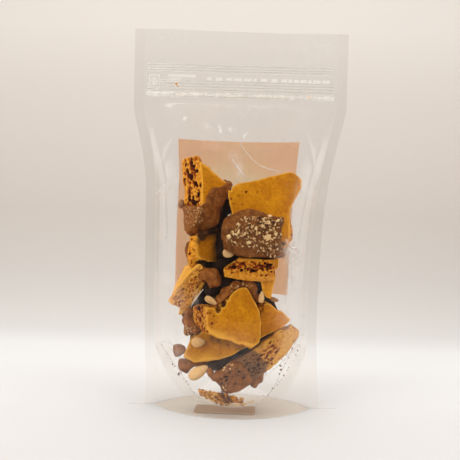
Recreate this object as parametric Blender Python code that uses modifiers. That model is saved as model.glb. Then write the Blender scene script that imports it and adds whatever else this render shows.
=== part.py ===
"""A clear stand-up zip pouch filled with broken dalgona (honeycomb toffee), as one solid, with the
paper label on its back and the small date label under its base.

Metres, +Z up. The origin is the middle of the footprint, on the surface that the pouch stands on.
The front faces -Y. Film doesn't stretch, so each level of the pouch is a lens of two arcs of one
fixed length: the more the lens opens, the narrower the pouch gets.
"""

import math

import bmesh
import bpy
from mathutils import Matrix, Vector

# The pouch as flat film
POUCH_WIDTH = 0.120
POUCH_HEIGHT = 0.211
SIDE_SEAL = 0.0055
SEALED_THICKNESS = 0.0009  # two films sealed together, thicker than the real 0.2 mm
HALF_PANEL = POUCH_WIDTH / 2 - SIDE_SEAL

# How far the lens opens: (height, half angle of each arc in radians)
OPENING = (
    (0.000, 1.15),
    (0.020, 1.17),
    (0.045, 1.17),
    (0.070, 1.14),
    (0.100, 1.09),
    (0.128, 0.98),
    (0.145, 0.77),
    (0.156, 0.55),
    (0.163, 0.32),
    (0.1685, 0.08),
    (0.171, 0.004),
    (POUCH_HEIGHT, 0.004),
)

# The base: two skirts that the pouch stands on, and the gusset film that arches between them
SKIRT_THICKNESS = 0.0010  # inside the plane of the arc, on top of half the sealed thickness
SKIRT_MIDDLE = 0.0065  # height of the gusset's seal at the middle of each skirt
GUSSET_RISE = 0.0345  # height of the gusset's fold at the side seals
GUSSET_SAG = 0.0012  # the gusset's lowest point, under the weight of the candy
SEAL_REACH = 0.0375  # how far from the middle the seal's U shape reaches its full height
SEAL_CURVE = 2.3  # how steeply the seal's U shape climbs towards the sides
FOLD_CURVE = 4.0  # the same for the gusset's middle, which stays low for longer
TIP_MARGIN = 0.0012  # solid left where the two skirts meet at each side
BELOW_FLOOR = 0.010  # how far the cutter reaches under the pouch

# The press-to-close zip: (height, radius of the bar that stands out of both films)
ZIP_BARS = (
    (0.1749, 0.00135),
    (0.1776, 0.0007),
    (0.1793, 0.0007),
    (0.1810, 0.0007),
    (0.1825, 0.0006),
    (0.1883, 0.0007),
    (0.1898, 0.0006),
    (0.1913, 0.0007),
)
ZIP_LENGTH = 0.105
ZIP_SIDES = 10

# How the standing pouch slumps to one side: (height, shift in X)
SLUMP = (
    (0.000, 0.0),
    (0.010, -0.0003),
    (0.047, -0.0019),
    (0.100, -0.0016),
    (0.130, -0.0003),
    (0.150, 0.0),
    (POUCH_HEIGHT, 0.0),
)

# Where lumps of candy push the film out: (side, x, height, reach, push), side -1 at the front
LUMPS = (
    (-1, -0.023, 0.128, 0.016, 0.0013),
    (-1, 0.020, 0.122, 0.018, 0.0011),
    (-1, 0.012, 0.099, 0.016, 0.0013),
    (-1, -0.029, 0.068, 0.014, 0.0012),
    (-1, 0.020, 0.077, 0.013, 0.0010),
    (-1, 0.003, 0.050, 0.017, 0.0013),
    (-1, 0.026, 0.036, 0.015, 0.0010),
    (-1, -0.024, 0.024, 0.014, 0.0010),
    (1, -0.016, 0.112, 0.020, 0.0010),
    (1, 0.018, 0.086, 0.018, 0.0012),
    (1, -0.014, 0.054, 0.018, 0.0012),
    (1, 0.014, 0.030, 0.016, 0.0010),
)

# Labels
LABEL_GAP = 0.0003
LABEL_THICKNESS = 0.0003
BACK_LABEL_WIDTH = 0.072
BACK_LABEL_BOTTOM = 0.062
BACK_LABEL_TOP = 0.151
DATE_LABEL_WIDTH = 0.033
DATE_LABEL_DEPTH = 0.016
DATE_LABEL_MIDDLE = Vector((-0.0037, -0.0105, 0))
DATE_LABEL_TURN = math.radians(-3)

# Mesh density
PANEL_COLUMNS = 28
LEVEL_STEP = 0.005
GUSSET_COLUMNS = 30
GUSSET_ROWS = 12
LABEL_COLUMNS = 12
LABEL_ROWS = 14


def clear_scene():
    for obj in list(bpy.data.objects):
        bpy.data.objects.remove(obj, do_unlink=True)


def new_collection(name):
    collection = bpy.data.collections.new(name)
    bpy.context.scene.collection.children.link(collection)
    return collection


def plastic_or_paper(name, colour, roughness, transmission=0.0):
    material = bpy.data.materials.new(name)
    material.use_nodes = True
    shader = material.node_tree.nodes["Principled BSDF"]
    shader.inputs["Base Color"].default_value = (*colour, 1.0)
    shader.inputs["Roughness"].default_value = roughness
    shader.inputs["Metallic"].default_value = 0.0
    shader.inputs["Transmission Weight"].default_value = transmission
    return material


def object_from(bm, name, collection, material=None):
    bmesh.ops.recalc_face_normals(bm, faces=bm.faces)
    mesh = bpy.data.meshes.new(name)
    bm.to_mesh(mesh)
    bm.free()
    if material:
        mesh.materials.append(material)
    obj = bpy.data.objects.new(name, mesh)
    collection.objects.link(obj)
    return obj


def smooth_curve(knots, height):
    """The value at a height, on a smooth curve through (height, value) pairs."""
    last = len(knots) - 1
    height = min(max(height, knots[0][0]), knots[last][0])
    at = next(i for i in range(last) if height <= knots[i + 1][0])

    def slope(i):
        low, high = knots[max(i - 1, 0)], knots[min(i + 1, last)]
        return (high[1] - low[1]) / (high[0] - low[0])

    (z0, a0), (z1, a1) = knots[at], knots[at + 1]
    span = z1 - z0
    u = (height - z0) / span
    start = (1 + 2 * u) * (1 - u) ** 2 * a0 + u * (1 - u) ** 2 * span * slope(at)
    end = u * u * (3 - 2 * u) * a1 + u * u * (u - 1) * span * slope(at + 1)
    return start + end


def opening_angle(height):
    """The half angle of the panels' arcs at a height."""
    return max(smooth_curve(OPENING, height), OPENING[-1][1])


def half_chord(height):
    """Half of the pouch's inner width at a height, between the side seals."""
    angle = opening_angle(height)
    return HALF_PANEL * math.sin(angle) / angle


def arc_depth(x, height):
    """How far the arc of a panel stands out from the plane of the side seals."""
    angle = opening_angle(height)
    radius = HALF_PANEL / angle
    inside = max(radius**2 - x**2, 0.0)
    return max(math.sqrt(inside) - radius * math.cos(angle), 0.0)


def lump_push(side, x, height):
    push = 0.0
    for lump_side, lump_x, lump_z, reach, most in LUMPS:
        if lump_side == side:
            distance = math.hypot(x - lump_x, height - lump_z) / reach
            push += most * math.exp(-(distance**2) * 2)
    return push


def panel_point(side, across, height):
    """A point of the front (side -1) or back (side 1) panel. across runs from -1 to 1 along the film."""
    angle = opening_angle(height)
    x = half_chord(height) * math.sin(angle * across) / math.sin(angle)
    out = SEALED_THICKNESS / 2 + arc_depth(x, height)
    out += lump_push(side, x, height) * (1 - across**2)
    return Vector((x, side * out, height))


def panel_normal(side, across, height):
    """The outward direction of a panel at a point of it."""
    step = 1e-3
    along = panel_point(side, across + step, height) - panel_point(side, across - step, height)
    up = panel_point(side, across, height + step) - panel_point(side, across, height - step)
    normal = along.cross(up).normalized()
    return normal if normal.y * side > 0 else -normal


def pouch_ring(height):
    """One level of the pouch, anticlockwise from above: front arc, right seal, back arc, left seal."""
    columns = [2 * i / PANEL_COLUMNS - 1 for i in range(PANEL_COLUMNS + 1)]
    front = [panel_point(-1, across, height) for across in columns]
    back = [panel_point(1, across, height) for across in reversed(columns)]
    edge = half_chord(height) + SIDE_SEAL
    half = SEALED_THICKNESS / 2
    right = [Vector((edge, -half, height)), Vector((edge, half, height))]
    left = [Vector((-edge, half, height)), Vector((-edge, -half, height))]
    return front + right + back + left


def loft(bm, rings):
    """Joins equal rings with faces and closes both ends."""
    levels = [[bm.verts.new(point) for point in ring] for ring in rings]
    count = len(rings[0])
    for lower, upper in zip(levels, levels[1:]):
        for i in range(count):
            after = (i + 1) % count
            bm.faces.new((lower[i], lower[after], upper[after], upper[i]))
    bm.faces.new(reversed(levels[0]))
    bm.faces.new(levels[-1])


def gusset_height(x, y):
    """Height of the gusset film over the floor: low in the middle, up to its seals and folds."""
    across = min(abs(x) / half_chord(0), 1.0)
    wall = max(arc_depth(x, 0) - SKIRT_THICKNESS, 1e-6)
    towards_skirt = min(abs(y) / wall, 1.0)
    seal_climb = min(abs(x) / SEAL_REACH, 1.0) ** SEAL_CURVE
    seal = SKIRT_MIDDLE + (GUSSET_RISE - SKIRT_MIDDLE) * seal_climb
    middle = GUSSET_SAG + (GUSSET_RISE - GUSSET_SAG) * across**FOLD_CURVE
    return middle + (seal - middle) * towards_skirt**3


def gusset_cutter(collection):
    """The space under the gusset, from below the floor up to the film."""
    bm = bmesh.new()
    bmesh.ops.create_grid(bm, x_segments=GUSSET_COLUMNS, y_segments=GUSSET_ROWS, size=1.0)
    angle = opening_angle(0)
    reach = half_chord(0) - TIP_MARGIN
    for vert in bm.verts:
        x = reach * math.sin(angle * vert.co.x) / math.sin(angle)
        y = vert.co.y * (arc_depth(x, 0) - SKIRT_THICKNESS)
        vert.co = Vector((x, y, gusset_height(x, y)))
    below = bmesh.ops.extrude_face_region(bm, geom=bm.faces[:])
    for element in below["geom"]:
        if isinstance(element, bmesh.types.BMVert):
            element.co.z = -BELOW_FLOOR
    cutter = object_from(bm, "under_gusset", collection)
    cutter.hide_render = True
    cutter.display_type = "WIRE"
    return cutter


def zip_bars(collection):
    """Round bars across the films: the zip's two tracks and the grip ribs over them."""
    for number, (height, radius) in enumerate(ZIP_BARS):
        bpy.ops.mesh.primitive_cylinder_add(
            vertices=ZIP_SIDES,
            radius=radius,
            depth=ZIP_LENGTH,
            location=(0, 0, height),
            rotation=(0, math.pi / 2, 0),
        )
        bar = bpy.context.object
        bar.name = f"zip_bar_{number}"
        bar.hide_render = True
        bar.display_type = "WIRE"
        for owner in list(bar.users_collection):
            owner.objects.unlink(bar)
        collection.objects.link(bar)


def join_and_cut(pouch, bars, cutter):
    """Applies the union of the zip's bars and the cut under the gusset, and removes the helpers."""
    union = pouch.modifiers.new("zip", "BOOLEAN")
    union.operation = "UNION"
    union.operand_type = "COLLECTION"
    union.collection = bars
    cut = pouch.modifiers.new("under_gusset", "BOOLEAN")
    cut.operation = "DIFFERENCE"
    cut.object = cutter
    graph = bpy.context.evaluated_depsgraph_get()
    joined = bpy.data.meshes.new_from_object(pouch.evaluated_get(graph))
    pouch.modifiers.clear()
    pouch.data = joined
    for helper in [*bars.objects, cutter]:
        bpy.data.objects.remove(helper, do_unlink=True)
    bpy.data.collections.remove(bars)


def pouch(parts, helpers, material):
    body_top = OPENING[-2][0]
    steps = round(body_top / LEVEL_STEP)
    levels = [body_top * i / steps for i in range(steps + 1)]
    levels.append(POUCH_HEIGHT)
    bm = bmesh.new()
    loft(bm, [pouch_ring(height) for height in levels])
    obj = object_from(bm, "pouch", parts, material)
    zip_bars(helpers)
    cutter = gusset_cutter(parts)
    join_and_cut(obj, helpers, cutter)
    obj.data.shade_smooth()
    obj.data.set_sharp_from_angle(angle=math.radians(35))
    return obj


def label(name, collection, material, place):
    """A thin paper label. place(u, v) gives its inner face, with u and v from -1 to 1."""
    bm = bmesh.new()
    bmesh.ops.create_grid(bm, x_segments=LABEL_COLUMNS, y_segments=LABEL_ROWS, size=1.0)
    for vert in bm.verts:
        vert.co = place(vert.co.x, vert.co.y)
    obj = object_from(bm, name, collection, material)
    paper = obj.modifiers.new("paper", "SOLIDIFY")
    paper.thickness = LABEL_THICKNESS
    paper.offset = 1.0
    obj.data.shade_smooth()
    return obj


def back_label(collection, material):
    half_width = BACK_LABEL_WIDTH / 2 / HALF_PANEL
    middle = (BACK_LABEL_BOTTOM + BACK_LABEL_TOP) / 2
    half_height = (BACK_LABEL_TOP - BACK_LABEL_BOTTOM) / 2

    def place(u, v):
        across, height = u * half_width, middle + v * half_height
        return panel_point(1, across, height) + panel_normal(1, across, height) * LABEL_GAP

    obj = label("back_label", collection, material, place)
    face_outward(obj, Vector((0, 1, 0)))
    return obj


def date_label(collection, material):
    """A stiff, flat label at the height of the gusset's lowest spot."""
    turn = Matrix.Rotation(DATE_LABEL_TURN, 3, "Z")
    height = gusset_height(0.0, 0.0) - LABEL_GAP

    def place(u, v):
        flat = turn @ Vector((u * DATE_LABEL_WIDTH / 2, v * DATE_LABEL_DEPTH / 2, 0)) + DATE_LABEL_MIDDLE
        return Vector((flat.x, flat.y, height))

    obj = label("date_label", collection, material, place)
    face_outward(obj, Vector((0, 0, -1)))
    return obj


def settle(obj):
    """Gives an object the pouch's slump to one side."""
    for vert in obj.data.vertices:
        vert.co.x += smooth_curve(SLUMP, vert.co.z)


def face_outward(obj, direction):
    """Turns an open sheet's faces to a direction, so that Solidify thickens it away from the pouch."""
    if sum(face.normal.dot(direction) for face in obj.data.polygons) < 0:
        obj.data.flip_normals()


def main():
    clear_scene()
    parts = new_collection("dalgona_pouch")
    helpers = new_collection("zip_helpers")
    film = plastic_or_paper("clear_film", (0.90, 0.88, 0.85), 0.12, transmission=0.9)
    kraft = plastic_or_paper("label_paper", (0.66, 0.42, 0.31), 0.65)
    tan = plastic_or_paper("date_paper", (0.62, 0.50, 0.40), 0.65)
    for piece in (pouch(parts, helpers, film), back_label(parts, kraft), date_label(parts, tan)):
        settle(piece)


main()
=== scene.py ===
"""Looks of the clear pouch of broken dalgona: film, toffee slabs, chocolate, nuts, crumbs and labels.

The candy is carved as distance fields on one lattice, in millimetres: slabs are broken, filled with bubbles,
dipped in chocolate, and kept clear of each other and of the film. Meshes are in metres, in the frame's own
axes: +Z up, the front towards -Y.
"""

import math

import bmesh
import bpy
import numpy as np
import openvdb
from mathutils import Euler, Matrix, Vector
from mathutils.bvhtree import BVHTree


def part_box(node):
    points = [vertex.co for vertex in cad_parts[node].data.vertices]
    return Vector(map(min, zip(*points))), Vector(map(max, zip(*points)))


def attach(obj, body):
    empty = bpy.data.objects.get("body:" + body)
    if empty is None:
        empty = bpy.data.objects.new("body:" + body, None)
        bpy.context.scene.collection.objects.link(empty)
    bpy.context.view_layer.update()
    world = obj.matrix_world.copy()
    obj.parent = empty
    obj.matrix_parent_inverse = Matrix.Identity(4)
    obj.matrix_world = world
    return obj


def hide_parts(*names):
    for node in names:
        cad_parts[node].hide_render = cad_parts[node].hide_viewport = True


MM = 0.001
FRONT, BACK = -1, 1

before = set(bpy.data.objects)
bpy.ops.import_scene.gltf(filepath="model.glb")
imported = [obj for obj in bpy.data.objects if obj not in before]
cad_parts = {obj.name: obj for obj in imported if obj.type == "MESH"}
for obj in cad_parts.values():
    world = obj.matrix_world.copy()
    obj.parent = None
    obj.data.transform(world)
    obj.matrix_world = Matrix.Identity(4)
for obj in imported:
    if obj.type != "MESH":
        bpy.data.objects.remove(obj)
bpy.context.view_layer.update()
POUCH_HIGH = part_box("pouch")[1]

# The pouch in millimetres: film doesn't stretch, so each level is a lens of two arcs of one length
POUCH_TOP = POUCH_HIGH.z / MM
SIDE_SEAL = 5.5
HALF_PANEL = 60.0 - SIDE_SEAL
# Half the angle of each arc, by height
OPENING = ((0, 1.15), (20, 1.17), (45, 1.17), (70, 1.14), (100, 1.09), (128, 0.98), (145, 0.77), (156, 0.55),
           (163, 0.32), (168.5, 0.08), (171, 0.004), (POUCH_TOP, 0.004))
# How far the pouch leans to one side, by height
SLUMP = ((0, 0.0), (10, -0.3), (47, -1.9), (100, -1.6), (130, -0.3), (150, 0.0), (POUCH_TOP, 0.0))
# Bulges over the lumps of candy: (x, height, reach, most)
LUMPS = {
    FRONT: ((-23, 128, 16, 1.3), (20, 122, 18, 1.1), (12, 99, 16, 1.3), (-29, 68, 14, 1.2), (20, 77, 13, 1.0),
            (3, 50, 17, 1.3), (26, 36, 15, 1.0), (-24, 24, 14, 1.0)),
    BACK: ((-16, 112, 20, 1.0), (18, 86, 18, 1.2), (-14, 54, 18, 1.2), (14, 30, 16, 1.0)),
}
SEAL_MIDDLE = 6.5
SEAL_REACH = 37.5
SEAL_CURVE = 2.3
GUSSET_RISE = 34.5
GUSSET_SAG = 1.2
FOLD_CURVE = 4.0
# How far inside the panels the solid's gusset ends
SOLID_WALL = 0.4
# The solid's gusset bends this sharply at the skirts, and the loose film of the gusset less
SOLID_SWELL = 3
GUSSET_SWELL = 1.8

# The candy's lattice
VOXEL = 0.36
LATTICE_LOW = np.array((-42.0, -29.0, 1.0))
LATTICE_SHAPE = (234, 160, 390)
FILM_CLEARANCE = 0.9
PIECE_GAP = 0.3
# A distance that counts as far away
FAR = 9.0


# ---------------------------------------------------------------- the pouch's form


def smooth_curve(knots, at):
    """Values on a smooth curve through (place, value) pairs."""
    place, value = np.array(knots, float).T
    last = len(place) - 1
    low, high = np.maximum(np.arange(last + 1) - 1, 0), np.minimum(np.arange(last + 1) + 1, last)
    slope = (value[high] - value[low]) / (place[high] - place[low])
    at = np.clip(at, place[0], place[last])
    i = np.clip(np.searchsorted(place, at, side="right") - 1, 0, last - 1)
    span = place[i + 1] - place[i]
    u = (at - place[i]) / span
    start = (1 + 2 * u) * (1 - u) ** 2 * value[i] + u * (1 - u) ** 2 * span * slope[i]
    end = u * u * (3 - 2 * u) * value[i + 1] + u * u * (u - 1) * span * slope[i + 1]
    return start + end


def smoothstep(low, high, value):
    t = np.clip((value - low) / (high - low), 0, 1)
    return t * t * (3 - 2 * t)


def opening_angle(z):
    """Half the angle of each arc at a height."""
    return np.maximum(smooth_curve(OPENING, z), OPENING[-1][1])


def half_chord(z):
    """Half the width of the lens at a height."""
    angle = opening_angle(z)
    return HALF_PANEL * np.sin(angle) / angle


def arc_depth(x, z):
    """How far an arc stands out of the lens's middle plane."""
    angle = opening_angle(z)
    radius = HALF_PANEL / angle
    return np.maximum(np.sqrt(np.maximum(radius**2 - x**2, 0)) - radius * np.cos(angle), 0)


def wall_depth(x, z):
    """The depth of the arc at one place, as a plain number."""
    return float(arc_depth(np.array(x), np.array(z)))


def seal_height(x):
    """Height of the U-shaped seal that joins the gusset to a skirt."""
    return SEAL_MIDDLE + (GUSSET_RISE - SEAL_MIDDLE) * np.minimum(np.abs(x) / SEAL_REACH, 1) ** SEAL_CURVE


def gusset_height(x, y, swell=SOLID_SWELL):
    """Height of the gusset, which sags in the middle and hangs from its seals at the skirts."""
    across = np.minimum(np.abs(x) / half_chord(0.0), 1)
    wall = np.maximum(arc_depth(x, 0.0) - SOLID_WALL, 1e-3)
    middle = GUSSET_SAG + (GUSSET_RISE - GUSSET_SAG) * across**FOLD_CURVE
    return middle + (seal_height(x) - middle) * np.minimum(np.abs(y) / wall, 1) ** swell


# ---------------------------------------------------------------- noise and distances


def spline_weights(fraction):
    """The four weights of a cubic B-spline."""
    f = fraction
    return (1 - f) ** 3 / 6, (3 * f**3 - 6 * f**2 + 4) / 6, (-3 * f**3 + 3 * f**2 + 3 * f + 1) / 6, f**3 / 6


def smooth_noise(shape, cells, rng):
    """Noise of about -1 to 1 on a grid of any rank, with features of so many grid steps along each axis."""
    out = rng.uniform(-1, 1, [int(n / cell) + 5 for n, cell in zip(shape, cells)])
    for axis, (count, cell) in enumerate(zip(shape, cells)):
        at = np.arange(count) / cell + 1
        low = np.floor(at).astype(int)
        out = np.moveaxis(out, axis, 0)
        weights = spline_weights((at - low).reshape([-1] + [1] * (out.ndim - 1)))
        out = sum(w * out[low - 1 + k] for k, w in enumerate(weights))
        out = np.moveaxis(out, 0, axis)
    return (out * (0.5 / out.std())).astype(np.float32)


def line_distance(points, x, z):
    """Distance to an open line in the front view."""
    best = np.full(np.broadcast(x, z).shape, 1e9)
    for (ax, az), (bx, bz) in zip(points, points[1:]):
        ex, ez = bx - ax, bz - az
        t = np.clip(((x - ax) * ex + (z - az) * ez) / (ex * ex + ez * ez), 0, 1)
        best = np.minimum(best, (x - ax - t * ex) ** 2 + (z - az - t * ez) ** 2)
    return np.sqrt(best)


def outline_distance(points, x, z):
    """Distance to a closed outline in the front view, negative inside."""
    closed = [*points, points[0]]
    inside = np.zeros(np.broadcast(x, z).shape, bool)
    for (ax, az), (bx, bz) in zip(closed, closed[1:]):
        if az != bz:
            inside ^= ((az > z) != (bz > z)) & (x < ax + (z - az) * (bx - ax) / (bz - az))
    return np.where(inside, -1, 1) * line_distance(closed, x, z)


def smooth_max(a, b, blend):
    """The larger of two distances, with the edge between them rounded."""
    h = np.maximum(blend - np.abs(a - b), 0) / blend
    return np.maximum(a, b) + h * h * blend / 4


def smooth_min(a, b, blend):
    return -smooth_max(-a, -b, blend)


# ---------------------------------------------------------------- the lattice


class Window:
    """A box of the lattice, with the coordinates of its points in millimetres."""

    def __init__(self, low, high):
        start = np.floor((np.array(low) - LATTICE_LOW) / VOXEL).astype(int)
        stop = np.ceil((np.array(high) - LATTICE_LOW) / VOXEL).astype(int) + 1
        start, stop = np.maximum(start, 0), np.minimum(stop, LATTICE_SHAPE)
        self.low = LATTICE_LOW + start * VOXEL
        self.shape = tuple(stop - start)
        self.part = tuple(slice(a, b) for a, b in zip(start, stop))
        axes = [LATTICE_LOW[i] + np.arange(start[i], stop[i]) * VOXEL for i in range(3)]
        grid = np.meshgrid(*axes, indexing="ij", sparse=True)
        self.x, self.y, self.z = (axis.astype(np.float32) for axis in grid)

    def noise(self, size, rng):
        return smooth_noise(self.shape, [size / VOXEL] * 3, rng)

    def along(self, normal, point):
        """Distance from a plane, positive on the side that its normal points to."""
        n = np.array(normal, float) / np.linalg.norm(normal)
        return (self.x - point[0]) * n[0] + (self.y - point[1]) * n[1] + (self.z - point[2]) * n[2]

    def outline(self, points):
        """Distance to an outline in the front view, negative inside."""
        return outline_distance(points, self.x[:, :, 0], self.z[0])[:, None, :]

    def sample(self, field, points):
        """A field's values at points, by linear interpolation."""
        at = np.clip((points - self.low) / VOXEL, 0, np.array(self.shape) - 1.001)
        base = np.floor(at).astype(int)
        f = at - base
        total = np.zeros(len(points))
        for corner in np.ndindex(2, 2, 2):
            weight = np.prod(np.where(corner, f, 1 - f), axis=1)
            total += weight * field[tuple((base + corner).T)]
        return total


def room_in_pouch():
    """Distance from the space that the film leaves for the candy, negative inside it."""
    whole = Window(LATTICE_LOW, LATTICE_LOW + (np.array(LATTICE_SHAPE) - 1) * VOXEL)
    angle = opening_angle(whole.z)
    radius = HALF_PANEL / angle
    x = whole.x - smooth_curve(SLUMP, whole.z)
    walls = np.hypot(x, np.abs(whole.y) + radius * np.cos(angle)) - radius + FILM_CLEARANCE
    floor = gusset_height(whole.x[:, :, 0], whole.y[:, :, 0])[:, :, None] - whole.z
    return np.maximum(walls, floor * 0.8 + FILM_CLEARANCE).astype(np.float32)


ROOM = room_in_pouch()
TAKEN = np.full(LATTICE_SHAPE, FAR, np.float32)


# ---------------------------------------------------------------- meshes

# The distance that a field has around its window
OUTSIDE = 5.0


def mesh_object(name, points, faces, material, attributes=None, smooth=True):
    """A piece from points in millimetres. attributes are {name: one value for each point}."""
    mesh = bpy.data.meshes.new(name)
    mesh.from_pydata(np.asarray(points, float) * MM, [], faces)
    mesh.materials.append(material)
    for key, values in (attributes or {}).items():
        attribute = mesh.attributes.new(key, "FLOAT", "POINT")
        attribute.data.foreach_set("value", np.asarray(values, np.float32))
    if smooth:
        mesh.shade_smooth()
    mesh.validate()
    obj = bpy.data.objects.new(name, mesh)
    bpy.context.scene.collection.objects.link(obj)
    return obj


def largest_body(count, faces):
    """Which points belong to the body with the most points."""
    edges = np.concatenate([np.stack((f, np.roll(f, -1, 1)), 2).reshape(-1, 2) for f in faces if len(f)])
    label = np.arange(count)
    while True:
        low = np.minimum(label[edges[:, 0]], label[edges[:, 1]])
        new = label.copy()
        np.minimum.at(new, edges[:, 0], low)
        np.minimum.at(new, edges[:, 1], low)
        new = new[new]
        if np.array_equal(new, label):
            break
        label = new
    return label == np.bincount(label).argmax()


def carve(window, field, adaptivity):
    """The surface of a field as (points in millimetres, triangles, quads), its largest body alone."""
    grid = openvdb.FloatGrid(OUTSIDE)
    padded = np.pad(field, 1, constant_values=OUTSIDE).astype(np.float32)
    grid.copyFromArray(padded)
    points, triangles, quads = grid.convertToPolygons(isovalue=0.0, adaptivity=adaptivity)
    triangles, quads = triangles.astype(int), quads.astype(int)
    keep = largest_body(len(points), (triangles, quads))
    place = np.cumsum(keep) - 1
    triangles = place[triangles[keep[triangles].all(1)]] if len(triangles) else triangles
    quads = place[quads[keep[quads].all(1)]] if len(quads) else quads
    points = window.low + (points[keep] - 1) * VOXEL
    corners = np.concatenate((triangles, quads[:, :3], quads[:, [0, 2, 3]]))
    a, b, c = (points[corners[:, i]] for i in range(3))
    if np.einsum("ij,ij->", a, np.cross(b, c)) < 0:
        triangles, quads = triangles[:, ::-1], quads[:, ::-1]
    return points, triangles, quads


# ---------------------------------------------------------------- materials


class Shading:
    """A short way to build one material's nodes. Sizes are in millimetres."""

    def __init__(self, name):
        self.material = bpy.data.materials.new(name)
        self.material.use_nodes = True
        self.tree = self.material.node_tree
        self.tree.nodes.clear()
        self.output = self.tree.nodes.new("ShaderNodeOutputMaterial")

    def add(self, kind, inputs=None, **settings):
        node = self.tree.nodes.new("ShaderNode" + kind)
        for key, value in settings.items():
            setattr(node, key, value)
        for key, value in (inputs or {}).items():
            self.set(node.inputs[key], value)
        return node

    def set(self, socket, value):
        """Links a node or a socket to this one, or sets its value. Colours are given without alpha."""
        if isinstance(value, bpy.types.Node):
            value = value.outputs[0]
        if isinstance(value, bpy.types.NodeSocket):
            self.tree.links.new(value, socket)
        else:
            socket.default_value = (*value, 1) if socket.type == "RGBA" else value

    def ramp(self, factor, *stops):
        """A colour ramp with (place, colour) stops. A plain number is a grey."""
        node = self.add("ValToRGB", {"Fac": factor})
        elements = node.color_ramp.elements
        while len(elements) < len(stops):
            elements.new(0.5)
        for element, (place, colour) in zip(elements, stops):
            element.position = place
            element.color = (*colour, 1) if isinstance(colour, tuple) else (colour, colour, colour, 1)
        return node

    def mix(self, factor, a, b, blend="MIX"):
        return self.add("Mix", {0: factor, 6: a, 7: b}, data_type="RGBA", blend_type=blend).outputs[2]

    def math(self, operation, a, b=0.0, clamp=False):
        return self.add("Math", {0: a, 1: b}, operation=operation, use_clamp=clamp).outputs[0]

    def times(self, a, b):
        return self.math("MULTIPLY", a, b)

    def within(self, value, low, high):
        """1 where a value lies between two limits, else 0."""
        return self.times(self.math("GREATER_THAN", value, low), self.math("LESS_THAN", value, high))

    def spread(self, value, start, end, low=0.0, high=1.0):
        """Moves a value from one range, start to end, to another, low to high."""
        limits = {"From Min": start, "From Max": end, "To Min": low, "To Max": high}
        return self.add("MapRange", {"Value": value, **limits})

    def attribute(self, name):
        return self.add("Attribute", attribute_name=name).outputs["Fac"]

    def place(self):
        return self.add("TexCoord").outputs["Object"]

    def noise(self, size, detail=2.0, roughness=0.5):
        inputs = {"Vector": self.place(), "Scale": 1 / (size * MM), "Detail": detail, "Roughness": roughness}
        return self.add("TexNoise", inputs).outputs["Fac"]

    def cells(self, size):
        """Distance from the middle of the nearest cell, as a share of the cells' size."""
        return self.add("TexVoronoi", {"Vector": self.place(), "Scale": 1 / (size * MM)}).outputs["Distance"]

    def bump(self, height, distance, strength=1.0):
        """A bump whose full height is a distance."""
        return self.add("Bump", {"Height": height, "Distance": distance * MM, "Strength": strength})

    def surface(self, colour, roughness, normal=None, specular=0.5, soft=None):
        """A solid surface. soft is how light sinks in: (share, reach of each colour, scale)."""
        inputs = {"Base Color": colour, "Roughness": roughness, "Specular IOR Level": specular}
        if normal:
            inputs["Normal"] = normal
        if soft:
            share, reach, scale = soft
            inputs["Subsurface Weight"] = share
            inputs["Subsurface Radius"] = reach
            inputs["Subsurface Scale"] = scale * MM
        return self.add("BsdfPrincipled", inputs)

    def done(self, shader):
        self.set(self.output.inputs["Surface"], shader)
        return self.material


DEEP_SHADE = (0.022, 0.010, 0.006)


def in_the_heap(s, colour):
    """Darkens a colour deep in the heap, far from the film, where little light gets."""
    return s.mix(s.attribute("painted_shade"), colour, DEEP_SHADE)


# The toffee's poured skin, from its dark patches to its light ones, with darker and lighter grain and specks
SKIN = ((0.32, (0.54, 0.180, 0.001)), (0.52, (0.64, 0.243, 0.001)), (0.70, (0.75, 0.312, 0.003)))
SKIN_DARK, SKIN_LIGHT, SKIN_SPECK = (0.43, 0.125, 0.001), (0.82, 0.37, 0.02), (0.20, 0.05, 0.002)
# Its broken faces between the bubbles, the fine pores in the middles of its cells, in a deeper tone with
# painted shade, and where it is smeared with chocolate
BREAK = ((0.35, (0.62, 0.22, 0.008)), (0.65, (0.86, 0.40, 0.040)))
PORE_TONE_AND_SHADE = (0.33, 0.085, 0.006)
SMEARED = ((0.30, (0.17, 0.070, 0.020)), (0.70, (0.33, 0.155, 0.055)))
# What the bubbles' colour is multiplied by, with their depth: the sugar's deeper colour, and painted shade
# that darkens deeper in
PIT_TONE_AND_SHADE = ((0.00, 1), (0.18, (0.66, 0.40, 0.22)), (0.42, (0.27, 0.08, 0.035)), (0.85, (0.060, 0.017, 0.010)))
PALE_PIT_TONE_AND_SHADE = ((0.00, 1), (0.25, (0.82, 0.64, 0.50)), (0.60, (0.52, 0.31, 0.19)), (1.00, (0.34, 0.17, 0.10)))
# The tint of pale toffee, a painted highlight along the rims of broken faces, and deep brown spots
TAN, TAN_SHARE = (0.93, 0.54, 0.13), 0.42
RIM_HIGHLIGHT, SPOT_COLOUR = (0.98, 0.50, 0.055), (0.15, 0.045, 0.010)


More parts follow.
